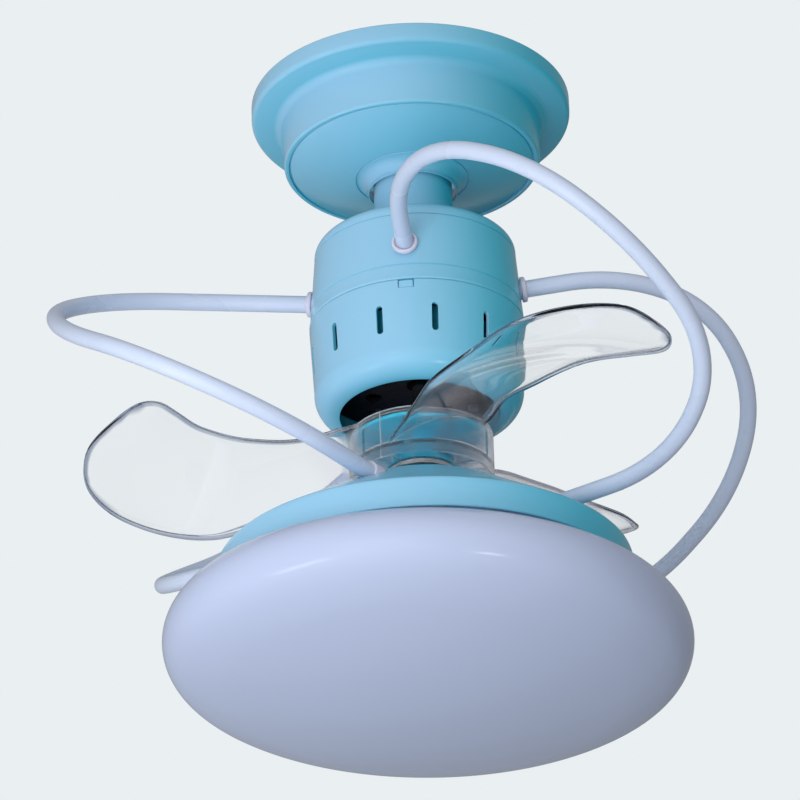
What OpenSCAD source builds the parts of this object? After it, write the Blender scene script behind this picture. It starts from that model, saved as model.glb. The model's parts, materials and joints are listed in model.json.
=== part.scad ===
// Compact ceiling fan with a lamp under it, carried by four bent tubes.
// The ceiling is the plane z = 0 and the whole fan hangs below it. Millimetres.
// The first bent tube (stay_front) leaves the motor housing towards -Y.

/* [Canopy] */
// Diameter of the brim that covers the ceiling hole
brim_d = 226; // [220:1:234]
// Diameter of the cup below the brim
cup_d = 181; // [178:1:186]
// Wall of the canopy shell
canopy_wall = 2.5; // [2:0.1:3]

/* [Motor housing] */
// Largest diameter, at the joint between the two shells
housing_d = 150; // [149:0.5:153]
// Wall of the two shells
housing_wall = 2.5; // [2:0.1:3]
// Diameter of the round opening under the motor
opening_d = 110.4; // [100:0.4:112]
// Number of vents round the lower shell
vent_count = 12; // [8:4:16]
// Height of one vent, ends included
vent_h = 21; // [14:0.5:24]
// Width of one vent
vent_w = 4.5; // [3:0.1:6]
// Diameter of the sleeve between canopy and housing
neck_d = 55.4; // [50:0.2:58]

/* [Rotor] */
// Number of degrees that the blades stand turned at rest
blade_rest_deg = 2; // [-20:1:20]
// Number of degrees by which the set of soft blades leans out of level
blade_lean = 6.4; // [0:0.2:6.8]
// Thickness of a blade between its edges
blade_t = 2; // [1.6:0.1:2.6]
// Thickness of the bead that runs round a blade's edge
bead_t = 3.2; // [2.6:0.1:3.6]
// Outer radius of the hub drum
drum_r = 50; // [49:0.5:51]
// Diameter of the motor shaft
shaft_d = 10; // [9:0.5:11]

/* [Stays] */
// Outer diameter of the bent tubes
stay_d = 12; // [11:0.5:13]
// Wall of the bent tubes
stay_wall = 1; // [0.8:0.1:1.5]

/* [Lamp] */
// Radius of the pan's flat top
pan_top_r = 68.8; // [66:0.2:70]
// Radius of the pan's upright rim at its foot
rim_r = 144; // [143:0.2:145]
// Wall of the pan
pan_wall = 1.8; // [1.5:0.1:2]
// Wall of the dome
dome_wall = 2.5; // [2:0.1:3]

/* [Hidden] */

$fn = 96;
eps = 0.01;
gap = 0.3;          // air between neighbours that must not touch

paint_blue = [0.57, 0.80, 0.91];
paint_white = [0.90, 0.93, 0.98];
clear_grey = [0.72, 0.80, 0.86, 0.4];
opal = [0.80, 0.84, 0.95];
steel = [0.70, 0.71, 0.73];
cast_grey = [0.60, 0.62, 0.64];
copper = [0.72, 0.43, 0.25];
black = [0.12, 0.12, 0.13];
case_black = [0.08, 0.08, 0.09];

// --- Levels, from the ceiling down -------------------------------------------
z_brim_top = -1;
z_brim_foot = -15.2;
z_cup_foot = -49.2;
z_collar_top = -64;
z_collar_foot = -74.4;
z_housing_top = -118;
z_shoulder = -126;
z_groove = -170;
z_joint = -182;
z_foot_round = -233;
z_opening = -250;
z_drum_top = -266;
z_drum_foot = -301;
z_pan_top = -320.6;
z_pan_edge = -366.4;
z_rim_foot = -398.4;
z_dome_wide = -424;

// --- Radii that several pieces share -----------------------------------------
cup_r = cup_d / 2;
brim_r = brim_d / 2;
collar_r = 41.4;
collar_hole_r = 31.8;
neck_r = neck_d / 2;
housing_r = housing_d / 2;
rod_r = 10.65;
rod_bore_r = 8;
shaft_r = shaft_d / 2;
stay_r = stay_d / 2;

// Points of an arc, for the rounded corners of a profile
function arc(centre, r, from, to, steps = 6) =
    [for (k = [0:steps]) let (a = from + (to - from) * k / steps) centre + r * [cos(a), sin(a)]];
function unit(v) = v / norm(v);
// Rows of a matrix whose columns are three axes and an origin
function placed(x, y, z, o) =
    [[x[0], y[0], z[0], o[0]], [x[1], y[1], z[1], o[1]], [x[2], y[2], z[2], o[2]], [0, 0, 0, 1]];

// Sends what is built along +Z to run from point a towards point b
module along(a, b) {
    z = unit(b - a);
    x = unit(cross([0, 0, 1], z));
    multmatrix(placed(x, cross(z, x), z, a)) children();
}

module ring(inner, outer, low, high) {
    translate([0, 0, low]) difference() {
        cylinder(r = outer, h = high - low);
        translate([0, 0, -1]) cylinder(r = inner, h = high - low + 2);
    }
}

module spun(points) {
    rotate_extrude() polygon(points);
}

module around(count, from = 0) {
    for (k = [0:count - 1]) rotate(from + k * 360 / count) children();
}

// ============================ Ceiling side ===================================
bracket_t = 3;
arm_w = 44;
arm_reach = 82;
side_arm_reach = 62;
ceiling_hole_x = 52;
ceiling_hole_r = 2.8;
flange_r = 30;
flange_t = 3;
flange_pcd = 46;
bolt_r = 2.5;
bolt_clear_r = 2.6;
bolt_head_r = 4.75;
bolt_head_h = 2.7;
nut_h = 4;
nut_r = 4.6;
z_flange_foot = -bracket_t - flange_t;

module ceiling_bracket() {
    color(steel) difference() {
        translate([0, 0, -bracket_t]) linear_extrude(bracket_t) union() {
            square([2 * arm_reach, arm_w], center = true);
            square([arm_w, 2 * side_arm_reach], center = true);
        }
        for (side = [-1, 1]) translate([side * ceiling_hole_x, 0, -bracket_t - 1])
            cylinder(r = ceiling_hole_r, h = bracket_t + 2);
        translate([0, 0, -bracket_t - 1]) cylinder(r = rod_bore_r, h = bracket_t + 2);
        around(3, 90) translate([flange_pcd / 2, 0, -bracket_t - 1]) {
            cylinder(r = bolt_clear_r, h = bracket_t + 2);
            translate([0, 0, bracket_t + 1 - bolt_head_h - gap])
                cylinder(r1 = bolt_clear_r, r2 = bolt_head_r + gap, h = bolt_head_h + gap + eps);
        }
    }
}

module flange_bolts() {
    color(steel) around(3, 90) translate([flange_pcd / 2, 0, 0]) {
        translate([0, 0, -bolt_head_h - 0.2]) cylinder(r1 = bolt_r, r2 = bolt_head_r, h = bolt_head_h);
        translate([0, 0, z_flange_foot - nut_h - 2])
            cylinder(r = bolt_r, h = -z_flange_foot + nut_h + 2 - bolt_head_h);
    }
}

module flange_nuts() {
    color(steel) around(3, 90) translate([flange_pcd / 2, 0, z_flange_foot - nut_h - 0.1]) difference() {
        cylinder(r = nut_r, h = nut_h, $fn = 6);
        translate([0, 0, -1]) cylinder(r = bolt_r + 0.02, h = nut_h + 2);
    }
}

z_rod_foot = -146;
wire_hole_r = 4.5;
z_wire_hole = -24;

module downrod() {
    color(steel) difference() {
        union() {
            translate([0, 0, z_flange_foot]) cylinder(r = flange_r, h = flange_t);
            translate([0, 0, z_rod_foot]) cylinder(r = rod_r, h = z_flange_foot - z_rod_foot + eps);
        }
        translate([0, 0, z_rod_foot - 1]) cylinder(r = rod_bore_r, h = -z_rod_foot + 2);
        translate([0, 0, z_wire_hole]) rotate([90, 0, 0]) cylinder(r = wire_hole_r, h = 30);
        around(3, 90) translate([flange_pcd / 2, 0, z_flange_foot - 1])
            cylinder(r = bolt_clear_r, h = flange_t + 2);
    }
}

spring_w = 12;
spring_t = 0.8;
spring_foot = 34;
spring_x = cup_r - canopy_wall - gap;

module canopy_springs() {
    color(steel) around(2) translate([0, -spring_w / 2, 0]) {
        translate([arm_reach - 14, 0, -bracket_t - spring_t]) cube([spring_x - arm_reach + 12, spring_w, spring_t]);
        translate([spring_x - 2 - spring_t, 0, -spring_foot]) cube([spring_t, spring_w, spring_foot - bracket_t]);
        translate([spring_x - 2 - spring_t, spring_w / 2, -spring_foot + 6]) rotate([90, 0, 0])
            cylinder(r = 2, h = spring_w, center = true, $fn = 32);
    }
}

terminal_size = [32, 18, 15];
module terminal_block() {
    color(paint_white) translate([0, 46, -bracket_t - terminal_size[2]]) difference() {
        translate([-terminal_size[0] / 2, -terminal_size[1] / 2, 0]) cube(terminal_size);
        for (x = [-10, 0, 10]) {
            translate([x, 0, 5]) rotate([90, 0, 0]) cylinder(r = 1.8, h = 40, center = true, $fn = 32);
            for (y = [-5, 5]) translate([x, y, -1]) cylinder(r = 2, h = 4, $fn = 32);
        }
    }
}

capacitor_size = [46, 24, 32];
module capacitor() {
    color(black) translate([0, -46, -bracket_t - capacitor_size[2]]) union() {
        translate([-capacitor_size[0] / 2, -capacitor_size[1] / 2, 0]) cube(capacitor_size);
        translate([0, 0, -1.5]) cube([capacitor_size[0] - 4, capacitor_size[1] - 4, 4], center = true);
    }
}

// The shell is the area between two outlines, both written from the brim down to the collar
function canopy_outside() = concat(
    [[brim_r - 1.5, z_brim_top], [brim_r, z_brim_top - 2]],
    arc([brim_r - 4, z_brim_foot + 3.4], 4, 0, -70, 5),
    [[cup_r + 9, z_brim_foot - 2.2]],
    arc([cup_r + 8.4, z_brim_foot - 9], 6.6, 95, 175, 5),
    arc([cup_r - 2, z_cup_foot - 0.2], 2, 10, -90, 5),
    [[cup_r - 3.6, z_cup_foot - 2.2], [cup_r - 4, z_cup_foot - 0.9], [cup_r - 5.4, z_cup_foot - 1.2]],
    [[collar_r + 2.4, z_collar_top + 0.4], [collar_r + 1, z_collar_top - 0.2]],
    arc([collar_r + 1.5, z_collar_foot + 0.4], 8.6, 118, 172, 5),
    arc([collar_hole_r + 1.3, z_collar_foot + 0.6], 1.3, -10, -170, 5));
function canopy_inside() = concat(
    [[collar_hole_r, z_collar_foot + 2], [collar_hole_r + 2.2, z_collar_top + 1.4]],
    [[collar_r, z_collar_top + canopy_wall + 1.4]],
    arc([cup_r - 6, z_cup_foot + 3.6], 6 - canopy_wall - 0.6, -90, 0, 4),
    [[cup_r - canopy_wall - 0.2, z_brim_foot - 8]],
    [[cup_r + 5, z_brim_foot + 1.2], [brim_r - 5.5, z_brim_foot + 2.6]],
    [[brim_r - canopy_wall, z_brim_foot + 5.5], [brim_r - canopy_wall, z_brim_top]]);

module canopy() {
    color(paint_blue) spun(concat(canopy_outside(), canopy_inside()));
}

z_sleeve_top = -60;
module neck_sleeve() {
    color(paint_blue) union() {
        ring(neck_r - 2.2, neck_r, z_housing_top + gap / 3, z_sleeve_top);
        ring(rod_r + 0.2, neck_r - 2.2 + eps, z_housing_top + 12, z_housing_top + 14);
        ring(rod_r + 0.2, neck_r - 2.2 + eps, z_sleeve_top - 6, z_sleeve_top - 4);
    }
}

// ============================ Motor housing ==================================
shoulder_r = 8;
shoulder_out_r = housing_r - 4.5;
groove_r = housing_r - 1.2;
snap_lug_w = 10.5;
snap_lug_h = 5.8;
z_snap = -185.5;
foot_round = 17;
foot_r = housing_r - 2.5;
z_spigot_foot = -193;
stay_hole_r = 7;

module upper_housing() {
    outside = concat(
        [[rod_r + 0.3, z_housing_top]],
        arc([shoulder_out_r - shoulder_r, z_housing_top - shoulder_r], shoulder_r, 90, 4, 7),
        [[groove_r - 0.1, z_groove + 0.6], [groove_r - 0.8, z_groove], [groove_r, z_groove - 0.6]],
        [[housing_r - 0.5, z_joint + 3.5], [housing_r, z_joint + 1.6], [housing_r - 0.4, z_joint + gap / 2]]);
    inside = concat(
        [[housing_r - housing_wall - 0.2, z_joint + gap / 2], [housing_r - housing_wall - 1, z_spigot_foot]],
        [[housing_r - 2 * housing_wall, z_spigot_foot], [housing_r - 2 * housing_wall, z_joint + 3]],
        [[groove_r - housing_wall - 0.6, z_groove]],
        arc([shoulder_out_r - shoulder_r, z_housing_top - shoulder_r], shoulder_r - housing_wall, 4, 90, 4),
        [[rod_r + 0.3, z_housing_top - housing_wall]]);
    color(paint_blue) difference() {
        union() {
            spun(concat(outside, inside));
            around(4, -90) intersection() {
                ring(housing_r - 2 * housing_wall + 0.2, housing_r - 0.9, z_snap - snap_lug_h / 2, z_snap + snap_lug_h / 2);
                translate([housing_r - 10, -snap_lug_w / 2, z_snap - 10]) cube([20, snap_lug_w, 20]);
            }
        }
        for (k = [0:3]) rotate(stay_deg(k)) along(stay_corners[0], stay_corners[1])
            cylinder(r = stay_hole_r, h = 40);
    }
}

module lower_housing() {
    outside = concat(
        [[housing_r - 0.4, z_joint - gap / 2], [housing_r, z_joint - 1.4]],
        arc([foot_r - foot_round, z_opening + foot_round], foot_round, 4, -90, 9),
        [[opening_d / 2, z_opening], [opening_d / 2 - 1, z_opening + 1.5]]);
    inside = concat(
        [[opening_d / 2, z_opening + housing_wall]],
        arc([foot_r - foot_round, z_opening + foot_round], foot_round - housing_wall, -90, 4, 6),
        [[housing_r - housing_wall, z_joint - 1.4], [housing_r - housing_wall, z_joint - gap / 2]]);
    color(paint_blue) difference() {
        spun(concat(outside, inside));
        around(4, -90) translate([housing_r, 0, z_snap])
            cube([20, snap_lug_w + 2 * gap, snap_lug_h + 2 * gap], center = true);
        around(vent_count, -90 + 180 / vent_count) translate([foot_r - 12, 0, z_vent]) rotate([0, 90, 0])
            linear_extrude(24) vent_area();
    }
}

z_vent = -210.7;
module vent_area() {
    square([vent_h - vent_w, vent_w], center = true);
    for (end = [-1, 1]) translate([end * (vent_h - vent_w) / 2, 0]) circle(d = vent_w, $fn = 32);
}

module rod_locknut() {
    color(steel) translate([0, 0, z_housing_top + 0.2]) difference() {
        cylinder(r = 19, h = 8, $fn = 6);
        translate([0, 0, -1]) cylinder(r = rod_r + 0.02, h = 10);
    }
}

// ================================ Motor ======================================
bell_r = 54;
bell_in_r = 49;
bell_wall = 3;
z_bell_top = -132;
z_stator_top = -162;
z_stator_foot = -192;
z_bell_foot = -226;
stator_out_r = 52;
stator_in_r = 29;
rotor_out_r = 28.4;
bearing_out_r = 15;
bearing_w = 9;
motor_screw_pcd = 96;

module bearing_pocket(low, high) {
    translate([0, 0, low]) cylinder(r = bearing_out_r, h = high - low);
}

z_upper_bearing = -159;
z_lower_bearing = -218;

module upper_end_bell() {
    color(case_black) difference() {
        union() {
            translate([0, 0, z_stator_top + 0.05]) cylinder(r = bell_r, h = z_bell_top - z_stator_top);
            translate([0, 0, z_bell_top]) cylinder(r = rod_r + 6, h = z_housing_top - housing_wall - z_bell_top - 0.1);
        }
        translate([0, 0, z_stator_top - 1])
            cylinder(r = bell_in_r, h = z_bell_top - bell_wall - z_stator_top + 1);
        translate([0, 0, z_rod_foot]) cylinder(r = rod_r + 0.02, h = 60);
        around(4, 45) translate([motor_screw_pcd / 2, 0, z_stator_top])
            cylinder(r = 2.2, h = 60);
        around(8, 22.5) translate([34, 0, z_bell_top - 10]) cylinder(r = 6, h = 20);
    }
    color(case_black) difference() {
        translate([0, 0, z_upper_bearing]) cylinder(r = bearing_out_r + 4, h = z_bell_top - bell_wall - z_upper_bearing + eps);
        bearing_pocket(z_upper_bearing - 1, z_upper_bearing + bearing_w);
        translate([0, 0, z_rod_foot]) cylinder(r = rod_r + 0.02, h = 60);
        translate([0, 0, z_upper_bearing - 1]) cylinder(r = shaft_r + 2, h = 20);
    }
}

module lower_end_bell() {
    color(case_black) difference() {
        union() {
            translate([0, 0, z_bell_foot]) cylinder(r = bell_r, h = z_stator_foot - z_bell_foot - 0.05);
        }
        translate([0, 0, z_bell_foot + bell_wall]) difference() {
            cylinder(r = bell_in_r, h = 60);
            cylinder(r = bearing_out_r + 4, h = z_lower_bearing + bearing_w - z_bell_foot - bell_wall);
        }
        bearing_pocket(z_lower_bearing, z_lower_bearing + bearing_w + 1);
        translate([0, 0, z_bell_foot - 1]) cylinder(r = shaft_r + 3, h = 30);
        around(4, 45) translate([motor_screw_pcd / 2, 0, z_bell_foot - 1])
            cylinder(r = 2.2, h = 60);
        around(8, 22.5) translate([36, 0, z_bell_foot - 1]) cylinder(r = 6, h = 10);
    }
}

slot_count = 12;
module stator_core() {
    color(cast_grey) difference() {
        ring(stator_in_r, stator_out_r, z_stator_foot, z_stator_top);
        around(slot_count) translate([0, 0, z_stator_foot - 1]) {
            translate([stator_in_r + 9, 0, 0]) cylinder(r = 4.2, h = 40, $fn = 32);
            translate([stator_in_r - 1, -1, 0]) cube([8, 2, 40]);
        }
        around(4, 45) translate([motor_screw_pcd / 2, 0, z_stator_foot - 1]) cylinder(r = 2.2, h = 40);
    }
}

coil_h = 11;
module stator_winding() {
    color(copper) {
        for (low = [z_stator_foot - coil_h, z_stator_top]) difference() {
            ring(stator_in_r + 3, stator_out_r - 9, low, low + coil_h);
            around(slot_count, 15) translate([stator_out_r - 9, 0, low - 1]) cylinder(r = 1.5, h = 20, $fn = 24);
        }
        around(slot_count) translate([stator_in_r + 9, 0, z_stator_foot - eps])
            cylinder(r = 3.9, h = z_stator_top - z_stator_foot + 2 * eps, $fn = 32);
    }
}

module motor_screws() {
    color(steel) around(4, 45) translate([motor_screw_pcd / 2, 0, 0]) {
        translate([0, 0, z_bell_foot - 1]) cylinder(r = 2, h = z_bell_top - z_bell_foot + 1);
        translate([0, 0, z_bell_foot - 3.1]) cylinder(r = 3.8, h = 3);
        translate([0, 0, z_bell_top + 0.1]) cylinder(r = 3.8, h = 3, $fn = 6);
        translate([0, 0, z_bell_top - eps]) cylinder(r = 2, h = 1);
    }
}

module bearing(z) {
    translate([0, 0, z]) difference() {
        cylinder(r = bearing_out_r - 0.02, h = bearing_w - 0.1);
        translate([0, 0, -1]) cylinder(r = shaft_r + 0.03, h = bearing_w + 2);
        for (face = [-1, bearing_w - 0.7]) translate([0, 0, face]) difference() {
            cylinder(r = bearing_out_r - 2.5, h = 1.6);
            translate([0, 0, -1]) cylinder(r = shaft_r + 2.5, h = 4);
        }
    }
}
module upper_bearing() {
    color(steel) bearing(z_upper_bearing + 0.05);
}
module lower_bearing() {
    color(steel) bearing(z_lower_bearing + 0.05);
}

module rotor_core() {
    color(cast_grey) difference() {
        union() {
            translate([0, 0, z_stator_foot]) cylinder(r = rotor_out_r, h = z_stator_top - z_stator_foot - 2);
            translate([0, 0, z_stator_foot - 4]) cylinder(r = rotor_out_r - 1.5, h = 6);
        }
        translate([0, 0, z_stator_foot - 10]) cylinder(r = shaft_r, h = 60);
        translate([0, 0, z_stator_foot - 5]) cylinder(r = rotor_out_r - 9, h = 5);
    }
}

z_shaft_top = -148;
z_shaft_foot = -308;
module shaft() {
    color(steel) union() {
        translate([0, 0, z_shaft_foot]) cylinder(r = shaft_r, h = z_shaft_top - z_shaft_foot);
        translate([0, 0, z_lower_bearing + bearing_w + 0.4]) cylinder(r = shaft_r + 2, h = 2);
    }
}

// ================================ Rotor ======================================
drum_wall = 2.5;
web_t = 3;
z_web = -294;
driver_r = 14;
driver_flange_r = 24;
driver_flange_t = 3;
hub_screw_pcd = 38;
drum_sector = 119.3;

// The driver is a boss with a flange under the webs and a round plate that closes the drum's top
hub_plate_r = 45.5;
hub_plate_z = -271.4;
module hub_driver() {
    color(paint_blue) difference() {
        union() {
            translate([0, 0, hub_plate_z]) cylinder(r = hub_plate_r, h = 2.4);
            translate([0, 0, z_web + web_t + 0.05]) cylinder(r = driver_flange_r, h = driver_flange_t);
            translate([0, 0, z_web + web_t + 0.05]) cylinder(r = driver_r, h = 26);
        }
        translate([0, 0, z_web]) cylinder(r = shaft_r + 0.02, h = 40);
        around(3, blade_rest_deg + 60) translate([hub_screw_pcd / 2, 0, z_web]) cylinder(r = 2.05, h = 10, $fn = 32);
    }
}

module hub_clamp() {
    color(steel) difference() {
        translate([0, 0, z_web - 3.05]) cylinder(r = driver_flange_r, h = 3);
        translate([0, 0, z_web - 4]) cylinder(r = shaft_r + 0.1, h = 10);
        around(3, blade_rest_deg + 60) translate([hub_screw_pcd / 2, 0, z_web - 4])
            cylinder(r = 2.2, h = 10, $fn = 32);
    }
}

module hub_screws() {
    color(steel) around(3, blade_rest_deg + 60) translate([hub_screw_pcd / 2, 0, 0]) {
        translate([0, 0, z_web - 3]) cylinder(r = 2, h = web_t + 3 + driver_flange_t, $fn = 32);
        translate([0, 0, z_web - 5.6]) cylinder(r = 3.6, h = 2.5, $fn = 32);
        translate([0, 0, z_web - 3.2]) cylinder(r = 2, h = 1, $fn = 32);
    }
}

module hub_nut() {
    color(steel) difference() {
        union() {
            translate([0, 0, z_web - 3.1 - 8]) cylinder(r = 8.5, h = 8, $fn = 6);
            translate([0, 0, z_web - 3.1 - 12]) cylinder(r = 7, h = 5);
        }
        translate([0, 0, z_shaft_foot - 0.5]) cylinder(r = shaft_r + 0.02, h = 40);
    }
}

// A blade is a skin over stations from the hub to the tip. Each station gives the trailing edge and
// the leading edge as [radius, degrees from the blade's axis, z]. The two edges meet at the tip.
blade_stations = [
    [[48.8, -53.2, -292], [48.8, 37, -268.5]],
    [[74.5, -36.8, -290], [80.5, 17.6, -271.5]],
    [[104, -30.5, -292.5], [119, 16.5, -271]],
    [[134, -27, -296.5], [152.5, 20.2, -267]],
    [[164, -24, -298.5], [177.5, 26.9, -265]],
    [[193.5, -17.7, -294], [195.5, 30.5, -264]],
    [[219.5, -10.7, -283.5], [207.5, 28, -262]],
    [[231.5, -1.5, -274.5], [217, 19.8, -262.5]],
    [[229.5, 9.1, -266.5], [229.5, 9.1, -266.5]]];
last_station = len(blade_stations) - 1;
// The side that stands highest, and the radius where the lean begins
lean_towards = 49;
lean_from_r = 48.8;
camber = 5;
blade_steps = 26;
// Places across the chord, with the thickness that the skin has there
chord_places = [[0, 0.35], [0.018, 1], [0.05, 0.9], [0.09, 0], [0.3, 0], [0.55, 0], [0.91, 0],
    [0.95, 0.9], [0.982, 1], [1, 0.35]];

// Past the tip an edge carries on along the other one, which keeps the tip round
function station(side, i) = i > last_station
    ? blade_stations[2 * last_station - i][1 - side]
    : blade_stations[max(0, i)][side];
function spline(a, b, c, d, t) =
    0.5 * (2 * b + (c - a) * t + (2 * a - 5 * b + 4 * c - d) * t * t + (3 * b - a - 3 * c + d) * t * t * t);
function edge_at(side, s) = let (i = min(floor(s), last_station - 1))
    spline(station(side, i - 1), station(side, i), station(side, i + 1), station(side, i + 2), s - i);
function lean_at(p, turn) = tan(blade_lean) * (p[0] - lean_from_r) * cos(p[1] + turn - lean_towards);
function polar_point(p) = [p[0] * cos(p[1]), p[0] * sin(p[1]), p[2]];
function skin_point(s, place, side, turn) = let (
    c = place[0],
    p = edge_at(0, s) * (1 - c) + edge_at(1, s) * c,
    thick = place[1] == 0 ? blade_t : place[1] < 0.5 ? bead_t * place[1] : blade_t + (bead_t - blade_t) * place[1],
    rise = camber * 4 * c * (1 - c) * sqrt(1 - s / last_station))
    polar_point(p) + [0, 0, lean_at(p, turn) + rise + side * thick / 2];
function span_place(k) = last_station * sin(90 * k / blade_steps) * 0.998;

module blade_skin(turn) {
    across = len(chord_places);
    loop = 2 * across;
    points = concat(
        [for (k = [0:blade_steps]) each concat(
            [for (m = [0:across - 1]) skin_point(span_place(k), chord_places[m], 1, turn)],
            [for (m = [across - 1:-1:0]) skin_point(span_place(k), chord_places[m], -1, turn)])],
        [skin_point(last_station, chord_places[0], 0, turn)]);
    tip = len(points) - 1;
    sides = [for (k = [0:blade_steps - 1], m = [0:loop - 1]) each let (
            a = k * loop + m,
            b = k * loop + (m + 1) % loop)
        [[a, b, a + loop], [b, b + loop, a + loop]]];
    root_cap = [for (m = [0:across - 2]) each [
        [m + 1, m, loop - 1 - m],
        [m + 1, loop - 1 - m, loop - 2 - m]]];
    tip_cap = [for (m = [0:loop - 1]) [blade_steps * loop + m, blade_steps * loop + (m + 1) % loop, tip]];
    polyhedron(points = points, faces = concat(sides, root_cap, tip_cap), convexity = 6);
}

module drum_third() {
    rotate(-drum_sector / 2) rotate_extrude(angle = drum_sector) union() {
        translate([drum_r - drum_wall, z_drum_foot]) square([drum_wall, z_drum_top - z_drum_foot]);
        translate([driver_r + 0.4, z_web]) square([drum_r - driver_r - 1, web_t]);
        translate([drum_r - drum_wall - 1, z_drum_top - 2]) square([drum_wall + 1, 2]);
    }
    for (a = [-40, 0, 40]) rotate(a) translate([driver_flange_r + 1, -1, z_web + web_t - eps])
        cube([drum_r - drum_wall - driver_flange_r - 0.5, 2, 18]);
}

module blade(deg) {
    turn = deg + blade_rest_deg;
    color(clear_grey) rotate(turn) difference() {
        union() {
            drum_third();
            blade_skin(turn);
        }
        translate([hub_screw_pcd / 2, 0, z_web - 1]) cylinder(r = 2.2, h = web_t + 2, $fn = 32);
    }
}
module blade_1() {
    blade(180);
}
module blade_2() {
    blade(-60);
}
module blade_3() {
    blade(60);
}

// ================================ Stays ======================================
// Corners of the tube's centre line before bending, with the first leg along +X,
// and the radius of the bend at each inner corner
stay_corners = [[60, 0, -156], [140, 0, -145], [205, 34, -154], [238, 98, -192],
    [218, 159, -242], [152, 211, -294], [65, 175, -332], [15, 78, -336]];
stay_radii = [128, 105, 115, 155, 95, 125];
// The tubes are bent and drilled by hand, so two of them stand a little off the quarter turn
stay_lean = [0, 4, 0, -3];
stay_sides = 10;
bend_steps = 6;
function stay_deg(k) = -90 + 90 * k + stay_lean[k];
function back(i) = unit(stay_corners[i - 1] - stay_corners[i]);
function ahead(i) = unit(stay_corners[i + 1] - stay_corners[i]);
function half_angle(i) = acos(back(i) * ahead(i)) / 2;
function bend_centre(i) =
    stay_corners[i] + unit(back(i) + ahead(i)) * stay_radii[i - 1] / sin(half_angle(i));
function bend_start(i) = stay_corners[i] + back(i) * stay_radii[i - 1] / tan(half_angle(i));
function bend_point(i, t) = let (
    u = unit(bend_start(i) - bend_centre(i)),
    a = (180 - 2 * half_angle(i)) * t)
    bend_centre(i) + stay_radii[i - 1] * (u * cos(a) - back(i) * sin(a));
function stay_line() = concat(
    [stay_corners[0]],
    [for (i = [1:len(stay_corners) - 2], k = [0:bend_steps]) bend_point(i, k / bend_steps)],
    [stay_corners[len(stay_corners) - 1]]);

// A tube swept along a line of points, its rings carried on without twist
function turned(n, d) = unit(n - d * (n * d));
function frames(line, i = 0, n = [0, 0, 1]) = i >= len(line) ? [] : let (
    d = unit(line[min(i + 1, len(line) - 1)] - line[max(i - 1, 0)]),
    m = turned(n, d))
    concat([[m, cross(d, m)]], frames(line, i + 1, m));
module swept_tube(line, outer, inner, sides) {
    axes = frames(line);
    points = [for (i = [0:len(line) - 1]) each concat(
        [for (k = [0:sides - 1]) let (a = 360 * k / sides) line[i] + outer * (axes[i][0] * cos(a) + axes[i][1] * sin(a))],
        [for (k = [0:sides - 1]) let (a = 360 * k / sides) line[i] + inner * (axes[i][0] * cos(a) + axes[i][1] * sin(a))])];
    last = (len(line) - 1) * 2 * sides;
    walls = [for (i = [0:len(line) - 2], k = [0:sides - 1]) each let (
            a = i * 2 * sides + k,
            b = i * 2 * sides + (k + 1) % sides,
            up = 2 * sides)
        [[b, a, a + up], [b, a + up, b + up],
         [a + sides, b + sides, b + sides + up], [a + sides, b + sides + up, a + sides + up]]];
    ends = [for (k = [0:sides - 1]) each let (n = (k + 1) % sides)
        [[k, n, n + sides], [k, n + sides, k + sides],
         [last + n, last + k, last + k + sides], [last + n, last + k + sides, last + n + sides]]];
    polyhedron(points = points, faces = concat(walls, ends), convexity = 8);
}

module stay(k) {
    color(paint_white) rotate(stay_deg(k)) swept_tube(stay_line(), stay_r, stay_r - stay_wall, stay_sides);
}
module stay_front() {
    stay(0);
}
module stay_right() {
    stay(1);
}
module stay_back() {
    stay(2);
}
module stay_left() {
    stay(3);
}

ferrule_flange_r = 9;
ferrule_sleeve_r = stay_hole_r - 0.1;
upper_ferrule_at = 13.5;      // from the tube's inner end to the back of the flange
lower_ferrule_at = 92;        // from the last corner but one to the sleeve's outer end
lower_ferrule_len = 12;
lower_ferrule_r = 7.6;

module upper_ferrules() {
    color(paint_white) for (k = [0:3]) rotate(stay_deg(k)) along(stay_corners[0], stay_corners[1]) difference() {
        union() {
            translate([0, 0, upper_ferrule_at - 8]) cylinder(r = ferrule_sleeve_r, h = 9);
            translate([0, 0, upper_ferrule_at]) cylinder(r = ferrule_flange_r, h = 2.6);
            translate([0, 0, upper_ferrule_at + 2.6 - eps]) cylinder(r1 = ferrule_flange_r, r2 = ferrule_flange_r - 1, h = 1);
        }
        translate([0, 0, -10]) cylinder(r = stay_r + 0.05, h = 60);
        translate([0, 0, upper_ferrule_at + 1.8]) cylinder(r1 = stay_r, r2 = ferrule_flange_r - 1.2, h = 2);
    }
}

module lower_ferrules() {
    foot = stay_corners[len(stay_corners) - 1];
    knee = stay_corners[len(stay_corners) - 2];
    color(paint_white) for (k = [0:3]) rotate(stay_deg(k)) along(knee, foot)
        translate([0, 0, lower_ferrule_at]) difference() {
            cylinder(r = lower_ferrule_r, h = lower_ferrule_len);
            translate([0, 0, -1]) cylinder(r = stay_r + 0.05, h = lower_ferrule_len + 2);
        }
}

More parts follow.
